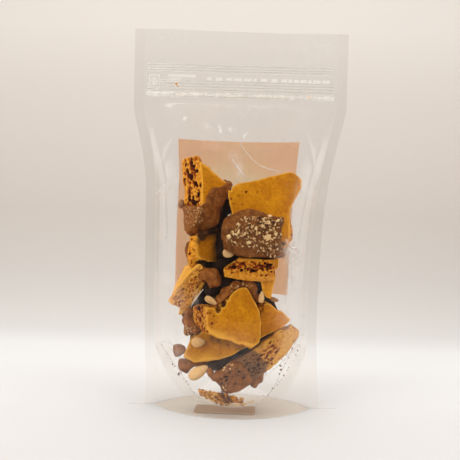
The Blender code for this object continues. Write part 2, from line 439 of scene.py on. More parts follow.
def toffee_material():
    s = Shading("honeycomb_toffee")
    depth, broken, smear, pale = (s.attribute(name) for name in ("depth", "broken", "smear", "pale"))
    mottle, fine = s.noise(8, 4, 0.6), s.noise(1.5, 3, 0.6)
    cells, specks = s.cells(0.8), s.cells(2.1)
    skin = s.ramp(mottle, *SKIN)
    skin = s.mix(s.ramp(fine, (0.30, 0.55), (0.52, 0)), skin, SKIN_DARK)
    skin = s.mix(s.ramp(fine, (0.58, 0), (0.74, 0.45)), skin, SKIN_LIGHT)
    skin = s.mix(s.ramp(specks, (0.10, 0.75), (0.19, 0)), skin, SKIN_SPECK)
    # Broken faces, with their fine pores in a deeper tone and painted shade
    rim = s.mix(s.ramp(cells, (0.10, 0.8), (0.34, 0)), s.ramp(fine, *BREAK), PORE_TONE_AND_SHADE)
    # The bubbles' colour in depth: the sugar's deeper colour, with painted shade deeper in
    pit_tone_and_shade = s.mix(pale, s.ramp(depth, *PIT_TONE_AND_SHADE), s.ramp(depth, *PALE_PIT_TONE_AND_SHADE))
    tan = s.times(pale, TAN_SHARE)
    skin, rim = (s.mix(tan, shade, TAN) for shade in (skin, rim))
    colour = s.mix(broken, skin, s.mix(1.0, rim, pit_tone_and_shade, "MULTIPLY"))
    # Painted highlight along the rims where broken faces meet the skins
    colour = s.mix(s.attribute("rim"), colour, RIM_HIGHLIGHT)
    colour = s.mix(s.attribute("spot"), colour, SPOT_COLOUR)
    colour = s.mix(smear, colour, s.mix(1.0, s.ramp(mottle, *SMEARED), pit_tone_and_shade, "MULTIPLY"))
    holes = s.times(s.ramp(cells, (0.05, 0), (0.40, 1)), broken)
    height = s.math("ADD", s.noise(0.6, 4, 0.65), s.times(holes, 1.4))
    normal = s.bump(height, 0.2, 0.8)
    return s.done(s.surface(in_the_heap(s, colour), 0.5, normal, 0.09, (0.15, (1.0, 0.42, 0.06), 1.2)))


# Chocolate from its dark patches to its light ones, its lighter and darker bloom, and the painted shade in
# its bubbles by their depth
COCOA = ((0.32, (0.135, 0.036, 0.005)), (0.50, (0.260, 0.080, 0.011)), (0.68, (0.390, 0.144, 0.028)))
BLOOM, DARK_COCOA = (0.42, 0.185, 0.065), (0.085, 0.026, 0.008)
COCOA_PIT_SHADE = ((0.0, 1), (0.4, (0.48, 0.36, 0.28)), (1.0, (0.24, 0.15, 0.10)))


def chocolate_material():
    s = Shading("milk_chocolate")
    bloom = s.noise(1.1, 4, 0.7)
    colour = s.ramp(s.noise(3.2, 5, 0.65), *COCOA)
    colour = s.mix(s.ramp(bloom, (0.55, 0), (0.72, 0.75)), colour, BLOOM)
    colour = s.mix(s.ramp(bloom, (0.28, 0.6), (0.44, 0)), colour, DARK_COCOA)
    # Painted shade in the bubbles under an open coat, by their depth
    colour = s.mix(1.0, colour, s.ramp(s.attribute("depth"), *COCOA_PIT_SHADE), "MULTIPLY")
    roughness = s.spread(bloom, 0, 1, 0.22, 0.55)
    normal = s.bump(s.noise(0.9, 5, 0.7), 0.34, 0.9)
    return s.done(s.surface(in_the_heap(s, colour), roughness, normal, 0.16, (0.06, (1.0, 0.5, 0.25), 0.8)))


def chip_material(name, *stops):
    """Bits whose colour follows their own tone along a ramp of stops."""
    s = Shading(name)
    streak = s.times(s.math("SUBTRACT", s.noise(1.8, 3), 0.5), 0.5)
    colour = s.ramp(s.math("ADD", s.attribute("tone"), streak, clamp=True), *stops)
    normal = s.bump(s.noise(0.8, 3), 0.15, 0.8)
    return s.done(s.surface(colour, 0.5, normal, 0.15, (0.12, (1.0, 0.6, 0.3), 1.0)))


MILKY = (0.96, 0.92, 0.87)
# A film has two faces, which reflect more than one
TWO_FACES = 1.35


def film_material(name, tint, haze, most_shine=0.45):
    """Clear film: see-through, with the reflection of its two faces by angle and a little milkiness.

    Its attribute "haze" adds more milkiness where the film is creased, and painted highlights where the film
    shows glare.
    """
    s = Shading(name)
    clear = s.add("BsdfTransparent", {"Color": tint})
    glowing, white = s.add("BsdfTranslucent", {"Color": MILKY}), s.add("BsdfDiffuse", {"Color": MILKY})
    milk = s.add("MixShader", {0: 0.35, 1: glowing, 2: white})
    patchy = s.times(s.attribute("haze"), s.ramp(s.noise(5, 4, 0.65), (0.35, 0.25), (0.65, 1)))
    body = s.add("MixShader", {0: s.math("ADD", patchy, haze, clamp=True), 1: clear, 2: milk})
    normal = s.bump(s.noise(6, 3, 0.6), 0.06, 0.7)
    gloss = s.add("BsdfGlossy", {"Color": (1, 1, 1), "Roughness": 0.15, "Normal": normal})
    edge = s.add("LayerWeight", {"Blend": 1 / 3})
    factor = s.math("MINIMUM", s.times(edge.outputs["Fresnel"], TWO_FACES), most_shine)
    return s.done(s.add("MixShader", {0: factor, 1: body, 2: gloss}))


def reverse_of_paper(s, edge, middle, pale):
    """The unprinted side: one soft colour that fades to another towards the middle."""
    at = s.add("TexCoord").outputs["Generated"]
    spot = s.add("Mapping", {"Vector": at, "Location": (-0.5, 0, -0.55)})
    flat = s.add("VectorMath", {0: spot, 1: (1.9, 0.0, 2.1)}, operation="MULTIPLY")
    reach = s.add("VectorMath", {0: flat}, operation="LENGTH").outputs["Value"]
    reach = s.math("ADD", reach, s.times(s.math("SUBTRACT", s.noise(18, 3, 0.55), 0.5), 0.8))
    return s.ramp(reach, (0.35, pale), (0.62, middle), (0.95, edge))


def paper_material(name, edge, middle, pale, see_through, front=None):
    """Paper that lets a little light through. front(s, x, z) gives the colour of its printed side."""
    s = Shading(name)
    colour = reverse_of_paper(s, edge, middle, pale)
    if front:
        texture = s.add("TexCoord")
        place = s.add("SeparateXYZ", {"Vector": texture.outputs["Generated"]})
        facing = s.add("SeparateXYZ", {"Vector": texture.outputs["Normal"]})
        printed = front(s, place.outputs["X"], place.outputs["Z"])
        colour = s.mix(s.math("GREATER_THAN", facing.outputs["Y"], 0.05), colour, printed)
    fibre = s.noise(0.35, 3, 0.7)
    colour = s.mix(s.times(fibre, 0.12), colour, (0.45, 0.30, 0.20))
    face = s.surface(colour, 0.62, s.bump(fibre, 0.03, 0.5))
    glow = s.add("BsdfTranslucent", {"Color": colour})
    return s.done(s.add("MixShader", {0: see_through, 1: face, 2: glow}))


# What is printed on the label, as shares of its height and width: (bottom, top, one side, other side)
PRINT_FIELD, PRINT_BAND = (0.06, 0.83, 0.07, 0.93), (0.87, 0.95, 0.07, 0.93)
PRINT_BARS = ((0.70, 0.755, 0.22, 0.78), (0.61, 0.64, 0.30, 0.70), (0.47, 0.49, 0.14, 0.86),
              (0.43, 0.45, 0.14, 0.80), (0.39, 0.41, 0.14, 0.86), (0.35, 0.37, 0.14, 0.62),
              (0.26, 0.28, 0.14, 0.50), (0.22, 0.24, 0.14, 0.46), (0.12, 0.29, 0.64, 0.86))


def label_print(s, x, z):
    """A plain printed label: a pale field, a band and bars."""
    colour = s.ramp(s.noise(30, 2), (0.3, (0.80, 0.50, 0.34)), (0.7, (0.86, 0.58, 0.42)))
    inks = [(PRINT_FIELD, (0.90, 0.80, 0.66)), (PRINT_BAND, (0.46, 0.17, 0.08))]
    for (low, high, left, right), ink in inks + [(bar, (0.36, 0.20, 0.13)) for bar in PRINT_BARS]:
        shape = s.times(s.within(x, left, right), s.within(z, low, high))
        colour = s.mix(shape, colour, ink)
    return colour


# ---------------------------------------------------------------- toffee and chocolate

TOFFEE = toffee_material()
CHOCOLATE = chocolate_material()
NUT = chip_material("nut", (0.0, (0.78, 0.50, 0.22)), (0.40, (0.62, 0.34, 0.12)), (0.72, (0.36, 0.17, 0.07)),
                    (1.0, (0.17, 0.08, 0.04)))
# Chopped nuts go from pale to brown skin; the near-black end is painted shade between piled nuts
CHOPPED = chip_material("chopped_nut", (0.0, (0.88, 0.62, 0.31)), (0.45, (0.70, 0.42, 0.17)),
                        (0.70, (0.32, 0.13, 0.04)), (1.0, (0.09, 0.03, 0.012)))
CRUMB = chip_material("toffee_crumb", (0.0, (0.86, 0.46, 0.08)), (0.4, (0.70, 0.28, 0.02)),
                      (0.7, (0.34, 0.11, 0.02)), (1.0, (0.10, 0.04, 0.02)))
# How much flat stretches of the meshes are simplified
TOFFEE_MESH, CHOCOLATE_MESH = 0.06, 0.05

# Thickness of the chocolate, and how much more of it there is along its edge
COAT = 0.9
BEAD = 0.45
# The depth in a bubble where the painted shade is darkest
PIT_DEPTH = 2.0
# How far the toffee reaches under its coat
UNDER_COAT = 2.0
LUMP_RIPPLE = 0.7
# Room around a slab in its window
MARGIN = 2.5
# A gloomy piece gets painted shade this far from the film, in mm: (no change, darkest)
GLOOM_DEPTH = (8.0, 13.5)
# Bubbles of the broken faces: (spacing, least radius, most radius, how far behind the face), in mm
COARSE = ((3.6, 1.2, 2.4, 1.2), (2.0, 0.7, 1.25, 1.1), (1.25, 0.45, 0.75, 0.9))
MEDIUM = ((2.6, 0.9, 1.7, 1.1), (1.5, 0.55, 0.95, 1.0), (1.05, 0.42, 0.65, 0.9))
FINE = ((1.65, 0.6, 1.05, 1.0), (1.1, 0.4, 0.66, 0.9))
# Bubbles that open on the poured skins
PINHOLES = (5.0, 0.3, 0.6, 1.0)
# How round the edges are where a bubble, a hollow or the skin meets a broken face
BUBBLE_EDGE, HOLLOW_EDGE, SKIN_EDGE = 0.12, 0.6, 0.9


def bubble_field(window, face, inside, half_layer, normal, flatness, bubbles, rng):
    """Distance into the nearest bubble that opens on a face, positive inside it.

    inside is the distance to the slab's skins: bubbles are largest halfway between them. They are flat along
    the layer, as bubbles are in toffee that sank while it set.
    """
    spacing, least, most, depth = bubbles
    field = np.full(window.shape, -FAR, np.float32)
    cells = [int(n * VOXEL / spacing) + 2 for n in window.shape]
    centres = np.stack(np.meshgrid(*[np.arange(c) for c in cells], indexing="ij"), -1).reshape(-1, 3)
    centres = (centres + rng.uniform(-0.6, 0.6, centres.shape)) * spacing
    radii = rng.uniform(least, most, len(centres))
    at = np.round(centres / VOXEL).astype(int)
    ok = (at < np.array(window.shape)).all(1) & (at >= 0).all(1)
    centres, radii, at = centres[ok], radii[ok], at[ok]
    near, room = face[tuple(at.T)], inside[tuple(at.T)]
    # Smaller near the skins
    radii = radii * np.clip(0.35 + 1.1 * room / half_layer, 0.35, 1.0)
    # Those that open on the face and leave a wall at the skins
    ok = (near < radii * 0.4) & (near > -radii * depth) & (room > radii * flatness + 0.25)
    n = np.array(normal, float) / np.linalg.norm(normal)
    for centre, radius in zip(centres[ok], radii[ok]):
        low = np.maximum(np.floor((centre - radius) / VOXEL).astype(int), 0)
        high = np.minimum(np.ceil((centre + radius) / VOXEL).astype(int) + 1, window.shape)
        part = tuple(slice(a, b) for a, b in zip(low, high))
        steps = [np.arange(a, b) * VOXEL - c for a, b, c in zip(low, high, centre)]
        dx, dy, dz = np.meshgrid(*steps, indexing="ij", sparse=True)
        along = dx * n[0] + dy * n[1] + dz * n[2]
        squared = dx * dx + dy * dy + dz * dz + along * along * (flatness**-2 - 1)
        field[part] = np.maximum(field[part], (radius - np.sqrt(squared)) * 0.8)
    return field


def region_distance(window, outline, rng):
    """Distance to an outline in the front view with a wavy edge, negative inside."""
    return window.outline(outline) + window.noise(7, rng) * 1.6 + window.noise(2.5, rng) * 0.7


def settle(window, field):
    """Keeps a piece inside the film and clear of the pieces that are there already."""
    field = np.maximum(field, ROOM[window.part])
    return np.maximum(field, PIECE_GAP - TAKEN[window.part]).astype(np.float32)


def ball_distances(window, blobs):
    """The distance to each of some balls: (x, y, z, radius)."""
    for x, y, z, radius in blobs:
        yield np.sqrt((window.x - x) ** 2 + (window.y - y) ** 2 + (window.z - z) ** 2) - radius


def ball_place(points, centre, radii):
    """Distance from a stretched ball's centre, as a share of its radii."""
    return np.sqrt(sum(((p - c) / r) ** 2 for p, c, r in zip(points, centre, radii)))


def candy_mesh(name, window, field, material, adaptivity, gloom, shade_spots, hollows=(), looks=None):
    """A candy piece from its field. looks(points) gives what its material goes by, as {name: values}.

    gloom is how much painted shade it gets away from the film, and it takes spots that paint shade too:
    (x, z, radius, amount). The walls of hollows get painted shade as well: (centre, radii, amount).
    """
    points, triangles, quads = carve(window, field, adaptivity)
    values = looks(points) if looks else {}
    # Painted shade: away from the film, in spots, and on the walls of hollows
    painted_shade = gloom * smoothstep(*GLOOM_DEPTH, -window.sample(ROOM[window.part], points))
    for x, z, radius, amount in shade_spots:
        away = np.hypot(points[:, 0] - x, points[:, 2] - z) / radius
        painted_shade = np.maximum(painted_shade, amount * (1 - smoothstep(0.45, 1.15, away)))
    for centre, radii, amount in hollows:
        painted_shade = np.maximum(painted_shade, amount * (1 - smoothstep(0.98, 1.2, ball_place(points.T, centre, radii))))
    values["painted_shade"] = painted_shade
    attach(mesh_object(name, points, triangles.tolist() + quads.tolist(), material, values), "root")


def height_on_plane(normal, point, x, z):
    """The Y of a plane at a place in the front view."""
    return point[1] - (normal[0] * (x - point[0]) + normal[2] * (z - point[2])) / normal[1]


def broken_faces(window, outline, depth, cuts, ragged, rng):
    """Distance to a slab's broken faces, negative inside."""
    broken = window.outline(outline) + window.y * 0
    broken = smooth_max(broken, np.maximum(depth[0] - window.y, window.y - depth[1]), 1.5)
    for normal, point in cuts:
        broken = smooth_max(broken, window.along(normal, point), 0.8)
    return (broken + window.noise(8, rng) * ragged * 1.5 + window.noise(2.4, rng) * ragged).astype(np.float32)


def poured_skins(window, layer, half, facets, rng):
    """Distance to a slab's two skins and its facets, negative between them."""
    skin = np.abs(layer) - half
    for normal, point in facets:
        skin = smooth_max(skin, window.along(normal, point), 1.2)
    return (skin + window.noise(3.5, rng) * 0.2).astype(np.float32)


def chocolate_coat(window, under, region, coat, grain, blobs, rng):
    """Chocolate over a region of what is under it, with a bead along its edge, and with drips."""
    ripple = window.noise(5, rng) * 0.6 + window.noise(1.5, rng) * grain
    bead = BEAD * np.exp(-((region + 1.2) ** 2) / 1.5)
    coated = smooth_max(under - coat - ripple * min(coat, 1) - bead, region, 1.1)
    for ball in ball_distances(window, blobs):
        coated = smooth_min(coated, ball - ripple, 2.0)
    return settle(window, coated)


def pit_depth(window, solid, points):
    """How deep points lie under the faces of a solid, 0 to 1."""
    return np.clip(-window.sample(solid, points) / PIT_DEPTH, 0, 1)


def toffee_looks(window, solid, broken, skin, layer, smeared, spots, pale, points):
    """What the toffee's material goes by, at points of a slab."""
    depth = pit_depth(window, solid, points)
    edge = window.sample(broken, points) - window.sample(skin, points)
    spot = np.zeros(len(points))
    for x, z, radius in spots:
        away = np.hypot(points[:, 0] - x, points[:, 2] - z)
        spot = np.maximum(spot, 0.8 * (1 - smoothstep(radius - 0.4, radius + 0.4, away)))
    return {
        # How deep a point lies in a bubble, which sets its painted shade
        "depth": depth,
        "broken": np.maximum(smoothstep(-0.25, 0.35, edge), smoothstep(0.15, 0.4, depth)),
        "smear": 1 - smoothstep(-1.0, 1.0, window.sample(smeared, points)),
        # A painted highlight along the edge where a broken face meets a skin
        "rim": 0.85 * np.exp(-((edge / 0.42) ** 2)) * (1 - smoothstep(0.08, 0.25, depth)),
        "spot": spot * (window.sample(layer, points) > 0),
        "pale": np.full(len(points), pale),
    }


def slab(name, outline, depth, normal, point, thickness, seed, cuts=(), facets=(), bubbles=MEDIUM,
         flatness=0.62, dense=0.0, open_skin=None, holes=(), spots=(), hollows=(), pale=0.0, dip=None,
         coat=COAT, grain=0.2, blobs=(), open_coat=False, smear=None, ragged=0.4, gloom=0.0, shade_spots=()):
    """One broken slab of honeycomb toffee, and its chocolate coat where it was dipped.

    outline is its silhouette from the front and depth its reach in Y. Its poured skins lie across the normal,
    the front one through the point. All other faces are broken, as are those that the cuts add, which are
    (normal, point) pairs. The facets are smooth. dense is a layer over the back skin without bubbles, and
    open_skin a region of the front skin with them. holes and spots are (x, z, radius) on the front skin, and
    hollows are (centre, radii, amount of painted shade). dip is the region under a coat of chocolate, whose
    fine relief is the grain, and whose drips are blobs (x, y, z, radius). An open coat and the thin smear
    leave the bubbles open. pale is how light the toffee is, most of all in its bubbles. gloom, and the spots
    that paint shade, are as in candy_mesh.
    """
    rng = np.random.default_rng(seed)
    xs, zs = zip(*outline)
    low, high = np.array((min(xs), depth[0], min(zs))), np.array((max(xs), depth[1], max(zs)))
    window = Window(low - MARGIN, high + MARGIN)
    half = thickness / 2
    layer = window.along(normal, point) + half
    broken = broken_faces(window, outline, depth, cuts, ragged, rng)
    wavy = layer + window.noise(14, rng) * 0.9
    skin = poured_skins(window, wavy, half, facets, rng)
    for centre, radii, _ in hollows:
        hollow = (1 - ball_place((window.x, window.y, window.z), centre, radii)) * min(radii)
        broken = smooth_max(broken, hollow, HOLLOW_EDGE)
    solid = settle(window, smooth_max(broken, skin, SKIN_EDGE))

    body = solid
    inside = np.minimum(-skin, half + wavy - dense)
    for kind in bubbles:
        opened = bubble_field(window, broken, inside, half, normal, flatness, kind, rng)
        body = smooth_max(body, opened, BUBBLE_EDGE)
    body = np.maximum(body, bubble_field(window, skin, FAR + 0 * skin, half, normal, flatness, PINHOLES, rng))
    if open_skin:
        region = region_distance(window, open_skin, rng) + 0 * skin
        opened = bubble_field(window, skin, -region, 2.0, normal, 0.8, FINE[1], rng)
        body = smooth_max(body, opened, BUBBLE_EDGE)
    for x, z, radius in holes:
        y = height_on_plane(normal, point, x, z)
        body = np.maximum(body, -next(ball_distances(window, [(x, y, z, radius)])))

    # Bubble depth under an open coat, for the chocolate's painted shade
    def coat_looks(points):
        return {"depth": pit_depth(window, solid - coat, points)} if open_coat else {}

    taken = solid
    if dip:
        region = region_distance(window, dip, rng)
        coated = chocolate_coat(window, body if open_coat else solid, region, coat, grain, blobs, rng)
        body = np.maximum(body, -UNDER_COAT - region)
        coat_name = name + "_chocolate"
        candy_mesh(coat_name, window, coated, CHOCOLATE, CHOCOLATE_MESH, gloom, shade_spots, hollows, coat_looks)
        taken = np.minimum(solid, coated)
    TAKEN[window.part] = np.minimum(TAKEN[window.part], taken)
    if body.min() > -1:
        return
    smeared = region_distance(window, smear, rng) if smear else np.full(window.shape, FAR)

    def looks(points):
        return toffee_looks(window, solid, broken, skin, layer, smeared, spots, pale, points)

    candy_mesh(name, window, body, TOFFEE, TOFFEE_MESH, gloom, shade_spots, hollows, looks)


def chocolate_lump(name, blobs, seed, gloom=0.0):
    """A lump of chocolate from round blobs: (x, y, z, radius)."""
    rng = np.random.default_rng(seed)
    blobs = np.array(blobs, float)
    reach = blobs[:, 3:] + 2.0
    window = Window((blobs[:, :3] - reach).min(0), (blobs[:, :3] + reach).max(0))
    field = np.full(window.shape, 99.0)
    for ball in ball_distances(window, blobs):
        field = smooth_min(field, ball, 1.6)
    field = field + window.noise(4, rng) * LUMP_RIPPLE + window.noise(1.6, rng) * LUMP_RIPPLE * 0.6
    field = settle(window, field)
    TAKEN[window.part] = np.minimum(TAKEN[window.part], field)
    candy_mesh(name, window, field, CHOCOLATE, CHOCOLATE_MESH, gloom, ())


# The candy in the order that it is made, from the front: each piece keeps clear of those before it. Lumps
# have blobs of chocolate (x, y, z, radius) alone
# Spots that paint shade darken pieces where little light reaches: in the gaps between them, or over all of a
# piece
PIECES = (
    dict(name="slab_top_right", depth=(-26, -2), normal=(0.2, -0.97, 0.13), point=(12, -19.8, 108),
         thickness=13.5, facets=[((0.66, -0.74, 0.12), (27.6, -16.6, 118))], coat=1.15, grain=0.34,
         shade_spots=[(8, 93, 23, 0.26), (12, 118, 40, 0.12)], ragged=0.3,
         outline=[(-5.2, 121), (-3.9, 119.9), (-2.8, 122.4), (0.2, 124), (7.3, 125.8), (17.4, 128.8),
             (25.9, 131), (28, 131.6), (30.7, 131), (33.5, 129.5), (35.1, 127.9), (34.7, 123.4),
             (32.4, 117.9), (29.2, 111.6), (28.7, 106.9), (30, 101.7), (30, 94.9), (28.2, 90.4), (25, 87.1),
             (20.7, 85.6), (7.4, 86), (-0.4, 86.8), (-1.4, 88.6), (-5.6, 90), (-6.8, 93.9), (-7.2, 99),
             (-5.9, 102.8), (-3.8, 105.9), (-3.2, 108.4), (-4.3, 112.8), (-5, 117.5)],
         holes=[(4.3, 119.8, 0.7), (10, 119.4, 0.6), (-3.6, 115.8, 0.8), (0.1, 117.6, 0.45),
             (-2.2, 113.2, 0.5), (13, 114.4, 0.45), (2.4, 113, 0.5), (7, 115.5, 0.4), (17.5, 117, 0.45)],
         dip=[(-12, 107), (-3.7, 107.5), (0.3, 109.3), (4.3, 109.9), (9.8, 110), (13.9, 109), (18, 108),
             (23.2, 107.8), (25.6, 107), (24.7, 103.3), (24, 99.9), (24.2, 96.8), (25.8, 92.1),
             (27.7, 86.1), (27.9, 80), (-14, 80)]),
    dict(name="chocolate_drip",
         blobs=[(-15, -11.9, 122.8, 1.5), (-14.7, -11.4, 120.2, 0.9)]),
    dict(name="slab_top_left", depth=(-21, 5), normal=(0.58, -0.81, 0.1), point=(-20, -17.5, 124),
         thickness=15.5, bubbles=COARSE, grain=0.22,
         outline=[(-31.5, 137.3), (-28.8, 138.6), (-22.6, 139.4), (-20.8, 136.1), (-15.9, 133.5),
             (-11.3, 129.4), (-7.4, 126.4), (-4.2, 124.6), (-5.4, 120.8), (-6, 117.5), (-8, 115),
             (-9.2, 111.5), (-9.6, 108.1), (-9.8, 102.9), (-10.8, 101.4), (-19.3, 97.4), (-24.8, 95.9),
             (-28.2, 98.9), (-28.5, 104.1), (-28.4, 110.6), (-29.1, 117.5), (-29.7, 122.3), (-31.2, 127.8),
             (-31.7, 131.6)],
         cuts=[((-0.71, -0.7, -0.06), (-20, -17.5, 124)), ((0.16, -0.76, -0.63), (-17, -15, 107))],
         dip=[(-40, 112.2), (-29, 111.6), (-20.3, 112), (-18.1, 112.9), (-16.5, 116.3), (-14.5, 118.6),
             (-13.1, 121), (-11.1, 122.5), (-7.7, 126), (-3, 130), (2, 130), (2, 88), (-40, 88)],
         blobs=[(-12, -10.2, 114, 3.6), (-13, -10.5, 108.5, 3)],
         shade_spots=[(-4.6, 111, 3.4, 1), (-5.6, 104.6, 3.4, 0.9), (-13.5, 98, 3, 0.8)]),
    dict(name="slab_middle", depth=(-23.5, -3), normal=(0.03, -0.25, 0.96), point=(8, -22, 85.3),
         thickness=11.5, cuts=[((0, -0.98, 0.15), (8, -22, 80))], shade_spots=[(8, 76, 30, 0.1)], flatness=0.5,
         dense=2.6, ragged=0.25,
         outline=[(-6.6, 78.5), (-3, 81), (1.9, 84.6), (20.1, 83.8), (20.9, 82.7), (21.3, 73.6),
             (18.7, 72.8), (12.9, 72.1), (-6.3, 73.6), (-6.4, 75)],
         bubbles=((2.3, 1, 1.75, 1.2), (1.25, 0.55, 1, 1.1), (0.85, 0.4, 0.62, 0.9))),
    dict(name="slab_low_front", depth=(-26, -8), normal=(0.1, -0.97, 0.2), point=(2, -24, 52),
         thickness=12.5, cuts=[((-0.8, -0.58, 0.05), (-16.5, -22.3, 50))], spots=[(8.8, 48.7, 1)],
         shade_spots=[(0, 50, 40, 0.17), (-19.6, 57.6, 2.2, 0.5)], ragged=0.25,
         outline=[(-22.6, 56.5), (-20, 58), (-16.8, 58.4), (-14.1, 57.9), (-10.5, 57.4), (-6.9, 60),
             (-3.3, 63.3), (-1.4, 65.7), (1.1, 67.6), (3.8, 68.8), (6.2, 68.6), (7.6, 67), (9.9, 62.5),
             (13.3, 55.5), (14, 49.7), (14.2, 43.6), (13.4, 39.8), (9.3, 36.1), (2.9, 38.2), (-5, 41),
             (-10.1, 42.1), (-15.1, 43.9), (-18.8, 46), (-20.9, 47), (-22.6, 50.7)],
         open_skin=[(-19, 47), (-19, 58), (-11, 58), (-9.5, 50), (-13, 44)],
         holes=[(7.6, 53.9, 0.8), (11.4, 41.8, 1.15), (2, 64.4, 0.8), (5.4, 55, 0.4), (-1, 47, 0.45),
             (12.8, 57, 0.5), (6.5, 43.5, 0.4), (-4, 44.5, 0.5)],
         hollows=[((-8.8, -23, 57.2), (1.5, 4, 2.2), 0.75), ((-6.3, -23, 60.6), (1.8, 4.6, 2.6), 0.97),
             ((-4, -23, 63.6), (1.3, 4, 2), 0.9)]),
    dict(name="chocolate_base_right",
         blobs=[(13.6, -16, 19.2, 2.6), (11.2, -16.2, 16.8, 2.2), (15.2, -15, 21.6, 1.8)]),
    dict(name="chocolate_base_tip",
         blobs=[(-12.4, -17, 21.4, 1.9), (-10.2, -17, 18.6, 1.6), (-12.6, -16.4, 23.6, 1.2)]),
    dict(name="slab_base", depth=(-24, -3), normal=(0.6, -0.1, -0.79), point=(16.5, -19, 22.5),
         thickness=15, cuts=[((-0.1, -0.95, 0.3), (6, -21, 28))], flatness=0.5, pale=1,
         shade_spots=[(20, 34, 34, 0.18)], coat=0.22, grain=0.5, open_coat=True, ragged=0.55,
         outline=[(-13, 22), (-10.7, 25.1), (-6.8, 27.9), (2.6, 32), (7.7, 34.5), (14.4, 38.5),
             (19.8, 42.4), (24.1, 46.6), (26.7, 45.9), (29.3, 46.6), (31.3, 47.5), (35.8, 44.6),
             (35.6, 40.5), (33, 37.3), (28, 32.4), (22.2, 28.5), (17.9, 24.3), (14.8, 20.5), (12, 17.4),
             (8.9, 15.1), (4.5, 12.9), (-0.2, 12), (-5.4, 12.9), (-6.4, 15.2), (-8.6, 17.4), (-9.6, 20)],
         bubbles=((2, 0.75, 1.35, 1), (1.25, 0.48, 0.8, 1), (0.95, 0.38, 0.6, 0.9)),
         dip=[(-20, 30), (-8, 31), (0, 31), (5, 30), (9, 27), (12, 22), (16, 20), (16, 5), (-20, 5)],
         blobs=[(-4, -17, 14.5, 1.9), (3, -17.5, 14.2, 1.7), (-8, -17.6, 21, 2)],
         smear=[(-20, 38), (2, 36), (8, 37), (15, 34), (19, 28), (16, 5), (-20, 5)]),
    dict(name="slab_left", depth=(-19, 6), normal=(-0.62, -0.5, 0.58), point=(-29.5, -16.3, 69.2),
         thickness=14, flatness=0.7, pale=0.8,
         outline=[(-36.1, 60), (-33.6, 67), (-30.3, 73.7), (-28, 78.2), (-22.2, 81.2), (-18.9, 80.2),
             (-16.1, 74.8), (-16.6, 69.2), (-18.6, 63.6), (-22.6, 57.6), (-24.6, 54.6), (-27.3, 50.6),
             (-30.7, 52.1), (-30.3, 55.6), (-33.3, 57.3), (-35.8, 59)],
         cuts=[((0.36, -0.87, -0.335), (-29.5, -16.3, 69.2))],
         bubbles=((1.5, 0.5, 0.95, 1), (0.95, 0.36, 0.58, 0.9))),
    dict(name="slab_upper_left", depth=(-19, 0), normal=(-0.86, -0.48, 0.18), point=(-29.5, -12, 88),
         thickness=19, dense=6, facets=[((0.66, -0.74, 0.1), (-21.2, -18.4, 88))],
         bubbles=FINE + ((2.3, 0.8, 1.3, 1.1),), flatness=0.6, coat=0.4, open_coat=True,
         outline=[(-25.6, 95.2), (-22.1, 96), (-16.6, 98), (-11, 100.6), (-9.6, 97), (-10.2, 93),
             (-10.4, 89), (-9.4, 85.2), (-7.6, 81), (-8.4, 78.6), (-13, 76.6), (-18, 77), (-22.6, 77),
             (-25.4, 80), (-26.8, 85.1), (-26.2, 90.6)],
         cuts=[((-0.2, -0.97, 0.1), (-22, -18.4, 88)), ((0.3, -0.75, -0.59), (-15, -14.4, 81.6))],
         hollows=[((-18.2, -16.4, 80.9), (3.2, 5.6, 1.6), 0.95),
             ((-13.4, -12, 79.4), (4.4, 6.4, 2.1), 0.97)],
         dip=[(-23.4, 100), (-22.4, 93.4), (-19.6, 91.2), (-17.4, 91.8), (-15.5, 94.4), (-12.8, 96.2),
             (-8, 97.6), (-6, 106), (-24, 104)],
         shade_spots=[(-8.6, 96, 4.6, 1), (-8.4, 91, 5.4, 1), (-6.8, 86, 4.6, 1), (-18.5, 95.6, 3.4, 0.8),
             (-13.6, 98.2, 4, 0.95), (-20.6, 92.6, 1.9, 0.6), (-8.2, 88.5, 6, 0.85), (-9, 82.5, 5.2, 0.8)]),
    dict(name="chocolate_left",
         blobs=[(-16, -15.2, 75.2, 4), (-12.6, -15.4, 74, 4.2), (-12.8, -15.6, 71.2, 3.2),
             (-9.8, -14.6, 71.6, 2.4), (-18.2, -15, 73, 2.6)]),
    dict(name="chocolate_middle",
         blobs=[(-6.6, -15.5, 60.6, 3.6), (-3.8, -15.8, 65.4, 3.6), (0.6, -15, 69.2, 3.4),
             (5.6, -15.2, 69.4, 3.6), (9.6, -15, 67.2, 3.4), (11, -14.2, 62.6, 2.8), (-9.4, -16.8, 57, 2.6),
             (13.4, -12.5, 57, 2.4)]),
    dict(name="chocolate_low_left",
         blobs=[(-24.6, -12.2, 53.4, 2.8), (-25.2, -12.2, 49.6, 2.8), (-23, -13.4, 46.6, 2.8),
             (-24.8, -12.4, 43.6, 2.4), (-20.8, -13.6, 44, 2.6)]),
    dict(name="chocolate_base_left",
         blobs=[(-27.6, -9.4, 25.2, 3.2), (-24.2, -10, 25.2, 3.2), (-26.4, -9.8, 22.4, 2.6),
             (-20, -9.5, 26.4, 2.6), (-16, -9, 26.6, 2.2)]),
    dict(name="chocolate_ball", blobs=[(-30.2, -11.5, 32.8, 3.5)]),
    dict(name="slab_low", depth=(-17, 3), normal=(0.02, -0.97, 0.12), point=(0, -14.5, 42), thickness=12.5,
         holes=[(23, 52.6, 0.4), (-3, 37, 0.5)], ragged=0.3,
         outline=[(-27.6, 29.5), (-25.6, 34.4), (-23.2, 39.5), (-18.4, 43.2), (-10, 46), (0, 50), (8, 54),
             (14.3, 58.3), (17.2, 59.6), (19.8, 58.6), (24.1, 55.2), (26.2, 54.9), (30.2, 51.2), (25.7, 47),
             (23.6, 45.6), (14.7, 40.5), (5.7, 34.9), (-2.4, 30.8), (-8.3, 28.9), (-12.8, 27.4),
             (-21.1, 26.8)],
         spots=[(18.3, 53, 1.35), (-12, 40.8, 1.6), (-8.5, 39.4, 1.3)],
